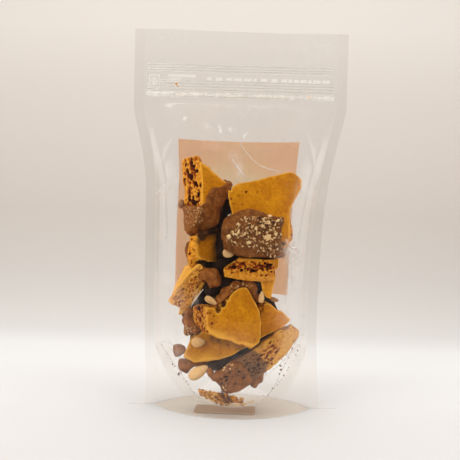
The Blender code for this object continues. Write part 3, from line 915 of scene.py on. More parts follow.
         shade_spots=[(-4, 41.5, 9, 0.42), (6, 39, 8, 0.42), (-15, 32, 16, 0.28)]),
    dict(name="slab_middle_low", depth=(-18.5, -6), normal=(0.25, -0.97, 0), point=(17.5, -17.6, 68),
         thickness=9, ragged=0.2,
         outline=[(13.6, 72), (14.4, 72.6), (21.5, 73.6), (21, 69.5), (20.1, 66.4), (19.5, 62.8),
             (17.4, 63), (16, 64.3), (14.6, 67.3)]),
    # Chocolate deep in the heap, with painted shade, which fills the gaps from the front
    dict(name="chocolate_deep_top", gloom=1,
         blobs=[(-5.5, -4, 96, 6), (-7.5, -5, 88, 6), (-8, -3, 103, 5), (-6.5, -2, 112, 5)]),
    dict(name="chocolate_deep_middle", gloom=1,
         blobs=[(-8.5, -6, 80, 5.5), (-4.5, -7, 71, 5.5), (-12.5, -7, 67, 5.5), (4, -6, 75, 5),
             (12, -6, 72, 5)]),
    dict(name="chocolate_deep_low", gloom=0.9,
         blobs=[(-10, -8, 25.5, 4), (-6, -8, 29, 4), (-16, -6, 29, 4), (2, -7, 33, 4), (10, -6, 38, 4),
             (17, -6, 43, 4)]),
)
# The heap behind, with painted shade away from the film, which shows from the back and the sides and fills
# the gaps from the front: (name, outline, depth, normal, point, thickness, region dipped in chocolate)
BACK_SLABS = (
    ("slab_back_top_left", [(-27, 127), (-19, 130), (-12, 123), (-7, 117), (-7, 104), (-24, 101),
      (-28, 116)],
     (-4, 23), (-0.15, 0.97, 0.15), (-14, 19, 118), 13, None),
    ("slab_back_top_right", [(4, 116), (15, 120), (26, 120), (28, 110), (24, 98), (3, 100), (1, 110)],
     (-4, 21), (0.3, 0.5, 0.8), (14, 15, 118), 14, None),
    ("slab_back_upper_left", [(-25, 98), (-12, 103), (-2, 101), (3, 84), (-6, 72), (-24, 74), (-28, 86)],
     (-2, 25), (0.15, 0.95, -0.2), (-12, 22, 88), 14, [(-30, 92), (-10, 88), (8, 96), (8, 66), (-30, 66)]),
    ("slab_back_upper_right", [(3, 97), (16, 99), (25, 94), (25, 78), (14, 68), (1, 71), (-2, 86)],
     (-4, 25), (-0.2, 0.95, 0.2), (12, 22, 84), 13, None),
    ("slab_back_left", [(-33, 70), (-22, 77), (-10, 74), (-4, 62), (-10, 47), (-20, 43), (-29, 47),
      (-32, 58)],
     (-6, 24), (-0.4, 0.85, 0.3), (-18, 19, 60), 13, None),
    ("slab_back_right", [(-3, 68), (8, 70), (18, 67), (25, 53), (14, 41), (2, 41), (-6, 48)],
     (-6, 25), (0.25, 0.9, -0.3), (9, 22, 56), 14,
     [(-10, 75), (6, 74), (12, 58), (28, 50), (28, 36), (-10, 36)]),
    ("slab_back_low_left", [(-25, 41), (-12, 45), (-2, 42), (2, 29), (-6, 20), (-16, 18), (-25, 25)],
     (-6, 22), (-0.1, 0.9, -0.4), (-12, 19, 32), 13, None),
    ("slab_back_low_right", [(2, 40), (14, 44), (25, 44), (30, 36), (18, 21), (6, 14), (-3, 17), (-4, 28)],
     (-4, 24), (0.3, 0.9, -0.3), (12, 20, 30), 13, None),
)
FIRST_SEED = 100


# ---------------------------------------------------------------- nuts and crumbs


def hull(points):
    """Faces of the convex hull of a few points, with the points that it uses."""
    bm = bmesh.new()
    for point in points:
        bm.verts.new(point)
    made = bmesh.ops.convex_hull(bm, input=bm.verts)
    bmesh.ops.delete(bm, geom=list({g for g in made["geom_interior"] + made["geom_unused"]}), context="VERTS")
    bm.verts.index_update()
    corners = [tuple(v.co) for v in bm.verts]
    faces = [[v.index for v in face.verts] for face in bm.faces]
    bm.free()
    return corners, faces


# A chip is the hull of this many points around a ball
CHIP_POINTS = 11


def chips(name, places, material, seed):
    """Broken bits as one piece. places are (centre, length, width, height, direction, tone), all in mm.

    A chip's height lies along its direction. Its tone, 0 to 1, picks its colour.
    """
    rng = np.random.default_rng(seed)
    points, faces, tones = [], [], []
    for centre, length, width, height, direction, tone in places:
        size = np.array((length, width, height)) / 2
        cloud = rng.normal(size=(CHIP_POINTS, 3))
        cloud = cloud / np.linalg.norm(cloud, axis=1)[:, None]
        cloud = cloud * rng.uniform(0.8, 1.05, (CHIP_POINTS, 1)) * size
        spin = Matrix.Rotation(rng.uniform(0, 6.28), 3, "Z")
        turn = Vector(direction).to_track_quat("Z", "Y").to_matrix() @ spin
        corners, sides = hull(cloud @ np.array(turn).T + np.array(centre))
        faces += [[i + len(points) for i in side] for side in sides]
        points += corners
        tones += [tone] * len(corners)
    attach(mesh_object(name, points, faces, material, {"tone": tones}, smooth=False), "root")


def surface_finder(*names):
    """A function that looks along +Y and gives the place and the normal of the candy nearest to the front."""
    trees = []
    for name in names:
        mesh = bpy.data.objects[name].data
        trees.append(BVHTree.FromPolygons([v.co for v in mesh.vertices], [p.vertices for p in mesh.polygons]))

    def find(x, z):
        best = None
        for tree in trees:
            place, normal, _, distance = tree.ray_cast(Vector((x, -60, z)) * MM, Vector((0, 1, 0)))
            if place and (best is None or distance < best[2]):
                best = (place / MM, normal if normal.y < 0 else -normal, distance)
        return best

    return find


# How often a place is tried for each bit that is wanted
TRIES = 12


def scatter(find, region, count, sizes, rise, rng, skins=False):
    """Places for chips on a surface, inside a region of the front view.

    Their middles stand out by a share of their height, the rise. With skins set, each light one gets a
    larger,
    deep brown chip behind and below it: painted shadow between the chips.
    """
    xs, zs = zip(*region)
    least, most = sizes
    places = []
    for _ in range(count * TRIES):
        if len(places) >= count:
            break
        x, z = rng.uniform(min(xs) - 1, max(xs) + 1), rng.uniform(min(zs) - 1, max(zs) + 1)
        if outline_distance(region, np.array([x]), np.array([z]))[0] > rng.exponential(0.4):
            continue
        found = find(x, z)
        if not found:
            continue
        place, normal, _ = found
        length = min(rng.gamma(1.6, (most - least) / 5) + least, most)
        width, height = length * rng.uniform(0.45, 0.8), length * rng.uniform(0.35, 0.6)
        centre = np.array(place + normal * height * rise)
        direction = np.array(normal) + rng.normal(0, 0.45, 3)
        # The deeper tones are partly brown nut skins and partly painted shade between the piled nuts
        tone = rng.uniform(0.0, 0.45) if rng.random() < 0.52 else rng.uniform(0.60, 1.0)
        places.append((centre, length, width, height, direction, tone))
        # This skin chip is painted shadow behind and below a light chip
        if skins and tone < 0.5:
            behind = centre + np.array((rng.uniform(-0.2, 0.5), 0.4, rng.uniform(-0.8, -0.2)))
            skin = (behind, length * 1.2, width * 1.3, height * 0.8, direction, rng.uniform(0.85, 1.0))
            places.append(skin)
    return places


CHOPPED_REGION = ((-5.5, 94.5), (-3, 99.5), (1.5, 102.5), (3, 106), (9, 107), (14, 106.5), (24, 107.5),
                  (24.5, 102), (26.5, 96), (25, 91), (20, 86.5), (10, 86.8), (12, 90), (4, 91), (-2.5, 91.5))
# The largest of the chopped nuts: (x, z, size)
LARGE_CHOPS = ((16.7, 95.8, 5.2), (0.8, 98.5, 3.6), (-4.4, 95.6, 3.4), (6.3, 92.6, 3.2), (10.1, 100.5, 3.0),
               (13.3, 102.0, 2.8), (-1.9, 97.2, 2.6), (3.8, 97.3, 2.4), (20.9, 97.4, 3.0), (16.8, 103.6, 2.6),
               (13.5, 105.4, 2.2))


def chopped_nuts():
    """Chopped nuts on the chocolate of the upper right slab."""
    rng = np.random.default_rng(31)
    find = surface_finder("slab_top_right_chocolate")
    places = scatter(find, CHOPPED_REGION, 760, (0.7, 3.6), 0.25, rng, skins=True)
    for x, z, size in LARGE_CHOPS:
        place, normal, _ = find(x, z)
        places.append((np.array(place + normal * 0.9), size, size * 0.8, size * 0.5, np.array(normal), 0.12))
    chips("chopped_nuts", places, CHOPPED, 32)


# Where finer bits stick to chocolate: (pieces, region, count, sizes, rise). The first ones are sandy
BASE_CHOCOLATE = ("slab_base_chocolate", "chocolate_base_tip")
CLUSTERS = (
    (("slab_top_left_chocolate",),
     ((-28.5, 111.3), (-19.3, 111.5), (-18.8, 104), (-23, 100.5), (-28.2, 101)), 210, (0.7, 1.8), 0.05),
    (("chocolate_middle",),
     ((-2.4, 69.2), (0.5, 71.2), (6.2, 71.4), (8, 68.5), (4.2, 67.5), (-1.2, 67.2)), 34, (0.7, 1.9), 0.2),
    (("chocolate_low_left",), ((-27.4, 46), (-21.2, 46.3), (-22.3, 41.5), (-26.3, 41)), 46, (0.7, 2.0), 0.2),
    (BASE_CHOCOLATE, ((-6.5, 27), (-0.6, 27.6), (0.5, 25.4), (-6.5, 24.5)), 16, (1.2, 2.8), 0.3),
    (BASE_CHOCOLATE, ((-5.8, 17.2), (-1.6, 16), (-2, 14), (-5.5, 14.6)), 14, (1.0, 2.2), 0.3),
)


def sprinkled_bits():
    """Finer bits that stick to the chocolate of other pieces."""
    rng = np.random.default_rng(35)
    sandy, *others = [scatter(surface_finder(*names), *where, rng) for names, *where in CLUSTERS]
    # The sandy ones are of middle tones
    bits = [(*bit[:5], 0.40 + 0.4 * bit[5]) for bit in sandy]
    chips("sprinkled_bits", sum(others, bits), CHOPPED, 36)


# Larger nuts: (name, centre, length, width, height, tilt of the length from X in the front view, tone)
LOOSE_NUTS = (
    ("nut_base", (-18.7, -16.0, 21.8), 12.2, 6.2, 4.6, 33, 0.06),
    ("nut_low", (-19.0, -17.6, 38.3), 7.6, 5.6, 4.0, 12, 0.24),
    ("nut_left", (-12.9, -17.8, 60.8), 7.8, 3.6, 3.2, -30, 0.16),
    ("nut_right", (14.2, -19.0, 63.6), 6.6, 3.0, 2.8, 86, 0.10),
    ("nut_top", (-4.4, -20.6, 86.6), 6.2, 4.6, 3.2, -12, 0.16),
    ("nut_small", (21.4, -13.0, 61.9), 5.4, 2.4, 2.4, -12, 0.70),
    ("nut_edge", (-31.0, -6.0, 113.0), 5.2, 3.6, 3.0, 84, 0.85),
)
# How much a nut narrows towards one end, how shallow its rear half is, and how bumpy it is
NUT_TAPER, NUT_FLAT, NUT_BUMPS = 0.28, 0.72, 0.10


def loose_nuts():
    """Whole halves and thick pieces of nut, lying between the slabs."""
    for number, (name, centre, length, width, height, tilt, tone) in enumerate(LOOSE_NUTS):
        rng = np.random.default_rng(300 + number)
        bm = bmesh.new()
        bmesh.ops.create_icosphere(bm, subdivisions=4, radius=1.0)
        bumps = rng.normal(size=(6, 3)) * 2.2
        phases = rng.uniform(0, 6.28, 6)
        for vert in bm.verts:
            x, y, z = vert.co
            narrow = 1 - NUT_TAPER * x
            deep = y * NUT_FLAT if y > 0 else y
            wave = sum(math.sin(vert.co.dot(Vector(b)) + p) for b, p in zip(bumps, phases)) / 6
            grow = 1 + NUT_BUMPS * wave
            vert.co = Vector((x * length / 2, deep * height / 2 * narrow, z * width / 2 * narrow)) * grow
        turn = Matrix.Rotation(math.radians(-tilt), 4, "Y") @ Matrix.Rotation(rng.uniform(-0.4, 0.4), 4, "X")
        bm.transform(Matrix.Translation(Vector(centre)) @ turn)
        points = [tuple(v.co) for v in bm.verts]
        faces = [[v.index for v in face.verts] for face in bm.faces]
        bm.free()
        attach(mesh_object(name, points, faces, NUT, {"tone": [tone] * len(points)}), "root")


# The heap of flakes: how many, the middle and spread in X, its ends, and the height of its top
FLAKES, HEAP_MIDDLE, HEAP_SPREAD, HEAP_ENDS, HEAP_TOP = 330, -7.5, 6.6, (-16.4, 5.0), 12.6
FINE_FLAKES = 90
TOFFEE_SHARE = 0.68


def base_crumbs():
    """Flakes of toffee and nut in a heap behind the front seal, in the valley of the gusset."""
    rng = np.random.default_rng(41)
    toffee, nuts = [], []
    for _ in range(FLAKES):
        x = float(np.clip(rng.normal(HEAP_MIDDLE, HEAP_SPREAD), *HEAP_ENDS)) + rng.uniform(-0.4, 0.4)
        size = min(rng.gamma(2.6, 0.6) + 0.7, 3.1)
        low = float(seal_height(x)) + 0.9
        top = HEAP_TOP - 0.30 * max(0.0, x + 5.0) + rng.normal(0, 0.35)
        z = low + max(top - low, 0.6) * rng.uniform(0, 1) ** 0.9
        y = -wall_depth(x, z) + 1.2 + size * 0.4 + rng.uniform(0, 3.0)
        z = max(z, float(gusset_height(x, y, GUSSET_SWELL)) + size * 0.2 + 0.2)
        middle = 0.4 * math.exp(-(((x + 2.5) / 3.5) ** 2))
        shape = (np.array((x, y, z)), size * 1.6, size * rng.uniform(0.5, 1.0), size * 0.35)
        direction = rng.normal(0, 0.6, 3) + np.array((0, -0.5, 1.0))
        flake = (*shape, direction, min(rng.uniform(0, 0.85) + middle, 1))
        (toffee if rng.random() < TOFFEE_SHARE else nuts).append(flake)
    for _ in range(FINE_FLAKES):
        x = float(rng.uniform(-14, 12))
        z = float(seal_height(x)) + rng.uniform(0.5, 1.6)
        size = rng.uniform(0.5, 1.3)
        shape = (np.array((x, 1.1 - wall_depth(x, z), z)), size * 1.4, size, size * 0.5)
        nuts.append((*shape, rng.normal(0, 1, 3), rng.uniform(0, 0.5)))
    chips("toffee_crumbs", toffee, CRUMB, 42)
    chips("nut_crumbs", nuts, NUT, 43)


# Dark specks along the seal of each film: how many, and where the heap hides a share of them
SPECKS, HEAP_REACH, HIDDEN_SHARE = 46, (-20, 8), 0.6
# The larger specks along the front seal: (x, z, size)
SEAL_SPECKS = ((31.9, 35.9, 0.7), (30.0, 31.1, 0.6), (28.1, 28.4, 0.7), (25.4, 27.3, 1.2), (25.6, 25.3, 1.1),
               (24.8, 23.0, 0.9), (23.9, 20.1, 0.5), (21.3, 15.5, 1.0), (19.1, 12.2, 1.2), (16.1, 9.8, 0.6),
               (-27.9, 21.8, 0.9), (-24.6, 17.6, 0.7), (-23.6, 16.2, 0.7), (-22.3, 14.5, 0.5),
               (-20.2, 12.4, 0.5))
# Crumbs at the zip: (place, length, width, height, direction, tone)
ZIP_CRUMBS = (((-36.1, -0.8, 180.6), 2.1, 1.6, 0.9, (0, -1, 0), 0.42),
              ((-35.2, -0.8, 179.2), 1.1, 0.9, 0.7, (0, -1, 0), 0.5),
              ((38.7, -1.2, 175.2), 1.9, 1.3, 0.9, (0, -1, 0), 0.38))


def seal_specks():
    """Dark crumbs caught along the gusset's U-shaped seal, and a few at the zip."""
    rng = np.random.default_rng(51)
    places = []
    for side in (FRONT, BACK):
        for _ in range(SPECKS):
            x = rng.uniform(-39, 38)
            if HEAP_REACH[0] < x < HEAP_REACH[1] and rng.random() < HIDDEN_SHARE:
                continue
            size = rng.gamma(2.2, 0.16) + 0.25
            z = seal_height(x) + rng.normal(0.4, 0.35)
            place = np.array((x + smooth_curve(SLUMP, z), side * (wall_depth(x, z) - 0.3), z))
            places.append((place, size * 1.5, size, size * 0.6, (0, side, 0.1), 0.9))
    for x, z, size in SEAL_SPECKS:
        place = np.array((x, 0.4 - wall_depth(x, z), z))
        places.append((place, size * 1.6, size, size * 0.6, (0, -1, 0.1), 0.95))
    chips("seal_specks", places, CRUMB, 52)
    chips("zip_crumbs", ZIP_CRUMBS, CRUMB, 53)


# ---------------------------------------------------------------- film

# How far a film stands off the middle plane where the pouch is open, and where it is sealed
FILM_HALF = 0.45
SEALED_HALF = 0.12
FILM_STEP = 1.1
PANEL_REACH = HALF_PANEL + SIDE_SEAL


def as_clear_film(piece):
    """Makes a piece part of the film, which takes the place of the solid pouch."""
    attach(piece, "root")
    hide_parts("pouch")


def lump_push(side, x, z):
    """How far the lumps of candy push a panel out."""
    push = 0.0
    for lump_x, lump_z, reach, most in LUMPS[side]:
        push = push + most * np.exp(-2 * ((x - lump_x) ** 2 + (z - lump_z) ** 2) / reach**2)
    return push


def film_x(u, z):
    """Place in X of the film that lies u millimetres along the panel from its middle."""
    angle = opening_angle(z)
    across = np.clip(u / HALF_PANEL, -1, 1)
    inside = half_chord(z) * np.sin(angle * across) / np.sin(angle)
    return inside + np.sign(u) * np.maximum(np.abs(u) - HALF_PANEL, 0) + smooth_curve(SLUMP, z)


def film_depth(side, u, z):
    """How far a panel stands out of the plane of the side seals."""
    across = np.clip(u / HALF_PANEL, -1, 1)
    x = film_x(across * HALF_PANEL, z) - smooth_curve(SLUMP, z)
    open_share = 1 - across**2
    sealed = smoothstep(0.0, 0.06, open_share)
    thickness = SEALED_HALF + (FILM_HALF - SEALED_HALF) * sealed
    return thickness + arc_depth(x, z) + lump_push(side, x, z) * open_share


# Folds in the films: (points as (along the panel, height), width, height)
FOLDS = {
    FRONT: (
        (((-49, 22), (-47.5, 60), (-48, 100), (-50, 135)), 1.6, 0.7),
        (((-42, 95), (-46, 128), (-50, 150), (-51, 165)), 1.3, 0.6),
        (((47, 14), (45.5, 50), (46.5, 96), (50, 128)), 1.6, 0.7),
        (((40, 88), (45, 120), (49.5, 146), (50, 162)), 1.2, 0.6),
        (((-30, 166), (-36, 150), (-45, 138)), 1.6, 0.5),
        (((33, 166), (38, 152), (47, 136)), 1.6, 0.5),
        (((14, 168), (8, 157), (3, 148), (3.5, 139), (9, 131), (17, 126), (27, 124)), 0.8, 0.55),
        (((2, 131), (5, 125), (8, 118)), 1.2, 0.45),
        (((-14, 167), (-10, 152), (-12, 140)), 2.5, 0.35),
        (((28, 94), (33, 88), (39, 85)), 1.1, 0.7),
        (((29, 83), (33, 88), (38, 93)), 1, 0.6),
        (((33, 88), (33.5, 78), (31, 68)), 1.2, 0.6),
        (((-52, 121), (-47, 118), (-40, 123), (-34, 124)), 1.3, 0.7),
        (((52, 124), (46, 121), (39, 122)), 1.3, 0.6),
    ),
    BACK: (
        (((-48, 20), (-46, 60), (-48, 110), (-50, 140)), 1.6, 0.7),
        (((48, 20), (46, 70), (47, 110), (50, 145)), 1.6, 0.7),
        (((-25, 166), (-20, 150), (-30, 138)), 1.8, 0.5),
        (((20, 167), (26, 154), (36, 146)), 1.8, 0.5),
    ),
}


def fold_push(side, u, z):
    """How far the folds stand out of a panel."""
    push = np.zeros(np.broadcast(u, z).shape)
    for points, width, height in FOLDS[side]:
        push = np.maximum(push, height * np.exp(-((line_distance(points, u, z) / width) ** 2)))
    return push


# Milky patches on the films, partly creases and scuffs and partly painted highlights:
# (x, height, reach, reach up, amount)
MILK_AND_HIGHLIGHTS = {
    FRONT: (
        (30.5, 87, 4.2, 5, 0.62),
        (34, 83, 3, 4.5, 0.4),
        (26.5, 91.5, 3, 3, 0.22),
        (29, 75, 3.2, 7.5, 0.26),
        (-43, 118, 4, 3, 0.3),
        (44, 118, 4, 3, 0.25),
        (0.5, 131, 1.9, 4.5, 0.75),
        (-3, 138, 2.5, 4, 0.4),
        (-12, 144, 7, 3.5, 0.22),
        (10, 142, 9, 5, 0.12),
        (-31, 66, 4.5, 8, 0.12),
        (-31, 33, 5, 6, 0.3),
        (27, 52, 5, 6, 0.12),
        (32, 42, 6, 8, 0.14),
        (8, 24, 12, 8, 0.05),
        (-20.5, 62.5, 1.5, 3.2, 0.45),
        (-30, 58, 6, 9, 0.07),
        (25, 54, 6, 5, 0.1),
        (28.5, 89, 3.6, 4, 0.4),
        (30, 75, 2.4, 9, 0.16),
        (45, 201, 15, 9, 0.16),
        (-38, 206, 20, 4, 0.12),
    ),
    BACK: (
        (10, 196, 26, 5, 0.06),
    ),
}


def milk_and_highlight_patches(side, u, z):
    """How milky a panel is where it is creased or scuffed, and where a patch of it is a painted highlight."""
    x = film_x(u, z)
    haze = np.zeros(u.shape)
    for middle_x, middle_z, reach_x, reach_z, amount in MILK_AND_HIGHLIGHTS[side]:
        haze += amount * np.exp(-(((x - middle_x) / reach_x) ** 2) - ((z - middle_z) / reach_z) ** 2)
    return haze


def header_wave(u, z):
    """The loose header's gentle wave, the same for both films."""
    return smoothstep(172, POUCH_TOP, z) * (1.1 * np.sin(u / 19 + 0.6) + 0.35 * np.sin(u / 7.3 + z / 9))


def grid_faces(columns, rows, offset=0):
    """Faces between points that lie column after column."""
    i, j = np.meshgrid(np.arange(columns - 1), np.arange(rows - 1), indexing="ij")
    corner = (i * rows + j).ravel() + offset
    return np.stack((corner, corner + rows, corner + rows + 1, corner + 1), 1)


def film_panel(name, side, material, sealed_material, seed):
    """One panel: body, skirt, header and its half of the side seals."""
    rng = np.random.default_rng(seed)
    columns = np.linspace(-PANEL_REACH, PANEL_REACH, round(2 * PANEL_REACH / FILM_STEP) + 1)
    rows = np.linspace(0, POUCH_TOP, round(POUCH_TOP / FILM_STEP) + 1)
    u, z = np.meshgrid(columns, rows, indexing="ij")
    free = smoothstep(0, 6, HALF_PANEL - np.abs(u)) * smoothstep(2, 14, z)
    ripple = smooth_noise(u.shape, (9, 26), rng) * 0.35 + smooth_noise(u.shape, (4, 9), rng) * 0.10
    out = film_depth(side, u, z) + free * (fold_push(side, u, z) - 0.25 + ripple * 0.6)
    y = side * np.maximum(out, SEALED_HALF) + header_wave(u, z)
    points = np.stack((film_x(u, z), y, z), -1).reshape(-1, 3)
    faces = grid_faces(*u.shape)
    piece = mesh_object(name, points, faces.tolist(), material, {"haze": milk_and_highlight_patches(side, u, z).ravel()})
    piece.data.materials.append(sealed_material)
    middle_u = np.abs(u.ravel()[faces].mean(1))
    middle_z = z.ravel()[faces].mean(1)
    skirt = (middle_z < seal_height(points[faces, 0].mean(1)) - 0.3) & (middle_u < HALF_PANEL)
    sealed = (middle_u > HALF_PANEL) | skirt
    piece.data.polygons.foreach_set("material_index", sealed.astype(np.int32))
    piece.data.update()
    as_clear_film(piece)


def gusset_film(material):
    """The folded film that closes the base, from skirt to skirt."""
    u, v = np.meshgrid(np.linspace(-1, 1, 80), np.linspace(-1, 1, 50), indexing="ij")
    angle = opening_angle(0.0)
    x = (half_chord(0.0) - 0.6) * np.sin(angle * u) / np.sin(angle)
    y = v * (arc_depth(x, 0.0) - 0.2)
    z = gusset_height(x, y, GUSSET_SWELL)
    z = z + smooth_noise(z.shape, (7, 6), np.random.default_rng(5)) * 0.35 * (1 - v**2)
    points = np.stack((x + smooth_curve(SLUMP, z), y, z), -1).reshape(-1, 3)
    as_clear_film(mesh_object("gusset_film", points, grid_faces(*u.shape).tolist(), material))


# The zip's ribs: (height, radius, milkiness)
ZIP_RIBS = ((174.9, 1.35, 1.0), (177.6, 0.7, 0.04), (179.3, 0.7, 0.08), (181.0, 0.7, 0.03),
            (182.5, 0.6, 0.08), (188.3, 0.7, 0.12), (189.8, 0.6, 0.04), (191.3, 0.7, 0.10))
ZIP_HALF_LENGTH = 52.4
# A rib is this many steps long, and this many around
RIB_STEPS, RIB_TURNS = 60, 8


def zip_ribs(material):
    """Half-round ribs across both films. The lowest and thickest is the zip's own track."""
    points, faces, haze = [], [], []
    for z0, radius, milkiness in ZIP_RIBS:
        for side in (FRONT, BACK):
            offset = len(points)
            for i in range(RIB_STEPS):
                u = -ZIP_HALF_LENGTH + 2 * ZIP_HALF_LENGTH * i / (RIB_STEPS - 1)
                for k in range(RIB_TURNS + 1):
                    turn = math.pi * k / RIB_TURNS
                    z = z0 + radius * math.cos(turn)
                    y = side * (SEALED_HALF + radius * math.sin(turn)) + header_wave(u, z0)
                    points.append((film_x(u, z), y, z))
                    haze.append(milkiness)
            block = grid_faces(RIB_STEPS, RIB_TURNS + 1, offset)
            faces += block.tolist() if side == FRONT else block[:, ::-1].tolist()
    as_clear_film(mesh_object("zip_ribs", points, faces, material, {"haze": haze}))


# White bars printed in the zip's band: (left, right, bottom, top)
ZIP_PRINT = ((-51.6, -45.6, 185.1, 185.6), (-51.6, -45.6, 178.0, 178.5), (-51.6, -51.1, 178.0, 185.6),
             (-46.1, -45.6, 178.0, 185.6), (-49.9, -47.3, 179.8, 183.8), (-41.2, -25.4, 184.5, 186.0),
             (-41.2, -33.6, 182.3, 183.7))
# The row of dashes beside them
DASHES_START, DASHES_END, DASHES_LOW, DASHES_HIGH = -19.0, 48, 183.2, 184.8


def zip_print(material):
    """Plain bars and dashes in white ink on the front film."""
    rng = np.random.default_rng(61)
    bars = list(ZIP_PRINT)
    x = DASHES_START
    while x < DASHES_END:
        length = rng.uniform(1.2, 4.6)
        bars.append((x, x + length, DASHES_LOW, DASHES_HIGH))
        x += length + rng.choice((0.8, 1.0, 2.4))
    points, faces = [], []
    for left, right, low, high in bars:
        columns = max(2, int((right - left) / 1.5) + 2)
        for x in np.linspace(left, right, columns):
            for z in (low, high):
                straight = x - smooth_curve(SLUMP, z)
                y = -(arc_depth(straight, z) + FILM_HALF) + header_wave(straight, z)
                points.append((x, float(y), z))
        faces += grid_faces(columns, 2, len(points) - 2 * columns).tolist()
    piece = mesh_object("zip_print", points, faces, material)
    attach(piece, "root")
    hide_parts("pouch")


def tube(points, radii, sides=6):
    """Points and faces of a tube with closed, pointed ends."""
    points = np.array(points, float)
    ahead = np.gradient(points, axis=0)
    ahead /= np.linalg.norm(ahead, axis=1)[:, None]
    across = np.cross(ahead, (0.0, 1.0, 0.02))
    across /= np.linalg.norm(across, axis=1)[:, None]
    up = np.cross(across, ahead)
    turns = np.arange(sides) / sides * 2 * math.pi
    rings = points[:, None] + np.array(radii)[:, None, None] * (
        np.cos(turns)[None, :, None] * across[:, None] + np.sin(turns)[None, :, None] * up[:, None]
    )
    faces = []
    for i in range(len(points) - 1):
        for k in range(sides):
            after = (k + 1) % sides
            faces.append([i * sides + k, i * sides + after, (i + 1) * sides + after, (i + 1) * sides + k])
    faces.append(list(range(sides))[::-1])
    faces.append([(len(points) - 1) * sides + k for k in range(sides)])
    return rings.reshape(-1, 3), faces


# Sharp creases on the films, as milky tubes that give their painted highlights:
# (points as (x, height) in the front view, radius)
CREASES = {
    FRONT: (
        (((10.1, 169.5), (4.6, 165.8), (-0.9, 157.2), (-1.4, 154.1), (0.5, 146.1), (6.5, 137.7),
         (13, 133.1), (19.4, 131.9), (22.7, 131)), 0.26),
        (((11, 134), (17, 131.9), (23.5, 130.8)), 0.3),
        (((-49.5, 121), (-45.5, 118.6), (-41.5, 122.5), (-36, 123.8)), 0.2),
        (((41, 122.4), (47, 122.8), (51, 124.6)), 0.18),
        (((-3.5, 137), (-0.6, 132.3), (3.9, 126.3)), 0.42),
        (((-1, 134.4), (1, 130.4), (4.3, 126)), 0.36),
        (((49, 160), (43.6, 153)), 0.2),
        (((25.5, 92.5), (29, 88), (33, 87.2)), 0.26),
        (((25, 89), (28.5, 85.5), (31, 82)), 0.24),
        (((31, 92.5), (33.5, 90), (34.2, 86.5)), 0.26),
        (((27, 84.5), (28.4, 78), (28, 70)), 0.2),
        (((-23.4, 57.6), (-21.4, 61.5), (-19, 64.8), (-16.8, 67.8)), 0.34),
        (((-53, 187.5), (-53.3, 181), (-53.2, 174), (-52.2, 168)), 0.3),
        (((52.6, 181), (53, 175), (52.4, 169.5)), 0.3),
        (((26.4, 95), (30.2, 90.8), (33.6, 91.6)), 0.36),
        (((26, 90.4), (29.6, 89.4), (32.4, 85.6), (33.6, 84.2)), 0.34),
        (((29.4, 92.4), (29.8, 88.4), (28, 84)), 0.3),
        (((30.6, 84), (30, 77), (31.4, 70.5)), 0.22),
        (((26.4, 72), (27.6, 66), (27, 60.5)), 0.2),
    ),
    BACK: (
        (((-20, 166), (-14, 158), (-6, 154)), 0.16),
        (((22, 160), (27, 150), (36, 146)), 0.16),
    ),
}


def film_place(side, x, z):
    """Points just outside a panel, at places in the front view."""
    straight = x - smooth_curve(SLUMP, z)
    return np.stack((x, side * (arc_depth(straight, z) + FILM_HALF + 0.1) + header_wave(straight, z), z), -1)


# Where the weld of the front skirt runs, as (x, height)
FRONT_WELD = ((-43, 38), (-34, 29), (-27.5, 21.5), (-21, 12.8), (-15, 9.2), (-5, 6.9), (3, 6.8), (10, 8),
              (16, 10.2), (19.5, 13.2), (23, 18), (25.6, 23.6), (28.4, 29), (32, 35.5), (36, 42))
WELD_REACH, EDGE_REACH = 38.5, 58
# The radius of these lines, and the height of the one along the bottom edge
LINE_RADIUS, EDGE_HEIGHT = 0.13, 0.16


def crease_line(side, places, radius):
    """A crease as (points, radii): a smooth curve that swells between its ends."""
    place = np.array(places, float)
    along = np.linspace(0, len(place) - 1, 12 * (len(place) - 1) + 1)
    x, z = (smooth_curve(list(enumerate(place[:, k])), along) for k in (0, 1))
    swell = 0.35 + 0.65 * np.sin(np.linspace(0.1, 3.04, len(x))) * (0.75 + 0.25 * np.sin(along * 2.3))
    return film_place(side, x, z), radius * swell


def film_creases(material):
    """Fine creases in the films, the weld lines of the gusset's seal, and the films' bottom edges, as milky
    tubes:
    painted highlights along the creases and edges.
    """
    lines = [crease_line(side, *crease) for side in (FRONT, BACK) for crease in CREASES[side]]
    for side in (FRONT, BACK):
        x = np.linspace(-WELD_REACH, WELD_REACH, 150)
        z = smooth_curve(FRONT_WELD, x) if side == FRONT else seal_height(x)
        lines.append((film_place(side, x, z), LINE_RADIUS + 0.05 * np.sin(x * 1.7)))
        x = np.linspace(-EDGE_REACH, EDGE_REACH, 120)
        lines.append((film_place(side, x, np.full(120, EDGE_HEIGHT)), np.full(120, LINE_RADIUS)))
    points, faces = np.zeros((0, 3)), []
    for line, radii in lines:
        more, sides = tube(line, radii)
        faces += [[i + len(points) for i in side] for side in sides]
        points = np.concatenate((points, more))
    as_clear_film(mesh_object("film_creases", points, faces, material))


# ---------------------------------------------------------------- stage, light and camera

FLOOR_REACH = 3000
FLOOR_FRONT = -600
COVE_START = 270
COVE_RADIUS = 280
COVE_STEPS = 24
WALL_TOP = 2500
# Paper from the bottom of the wall up, and from the front of the floor back, with painted shade
# where the light falls off
WALL_TONES = (0, (0.452, 0.406, 0.363)), (0.45, (0.548, 0.494, 0.446)), (1, (0.668, 0.614, 0.563))
FLOOR_TONES = (0, (0.655, 0.634, 0.613)), (1, (0.775, 0.765, 0.748))
# Painted shade on the floor: far in front, where the lamps' light falls off, and between the skirts
FRONT_FALLOFF_SHADE, INSIDE_SKIRTS = (0.08, 0.075, 0.07), (0.82, 0.755, 0.665)


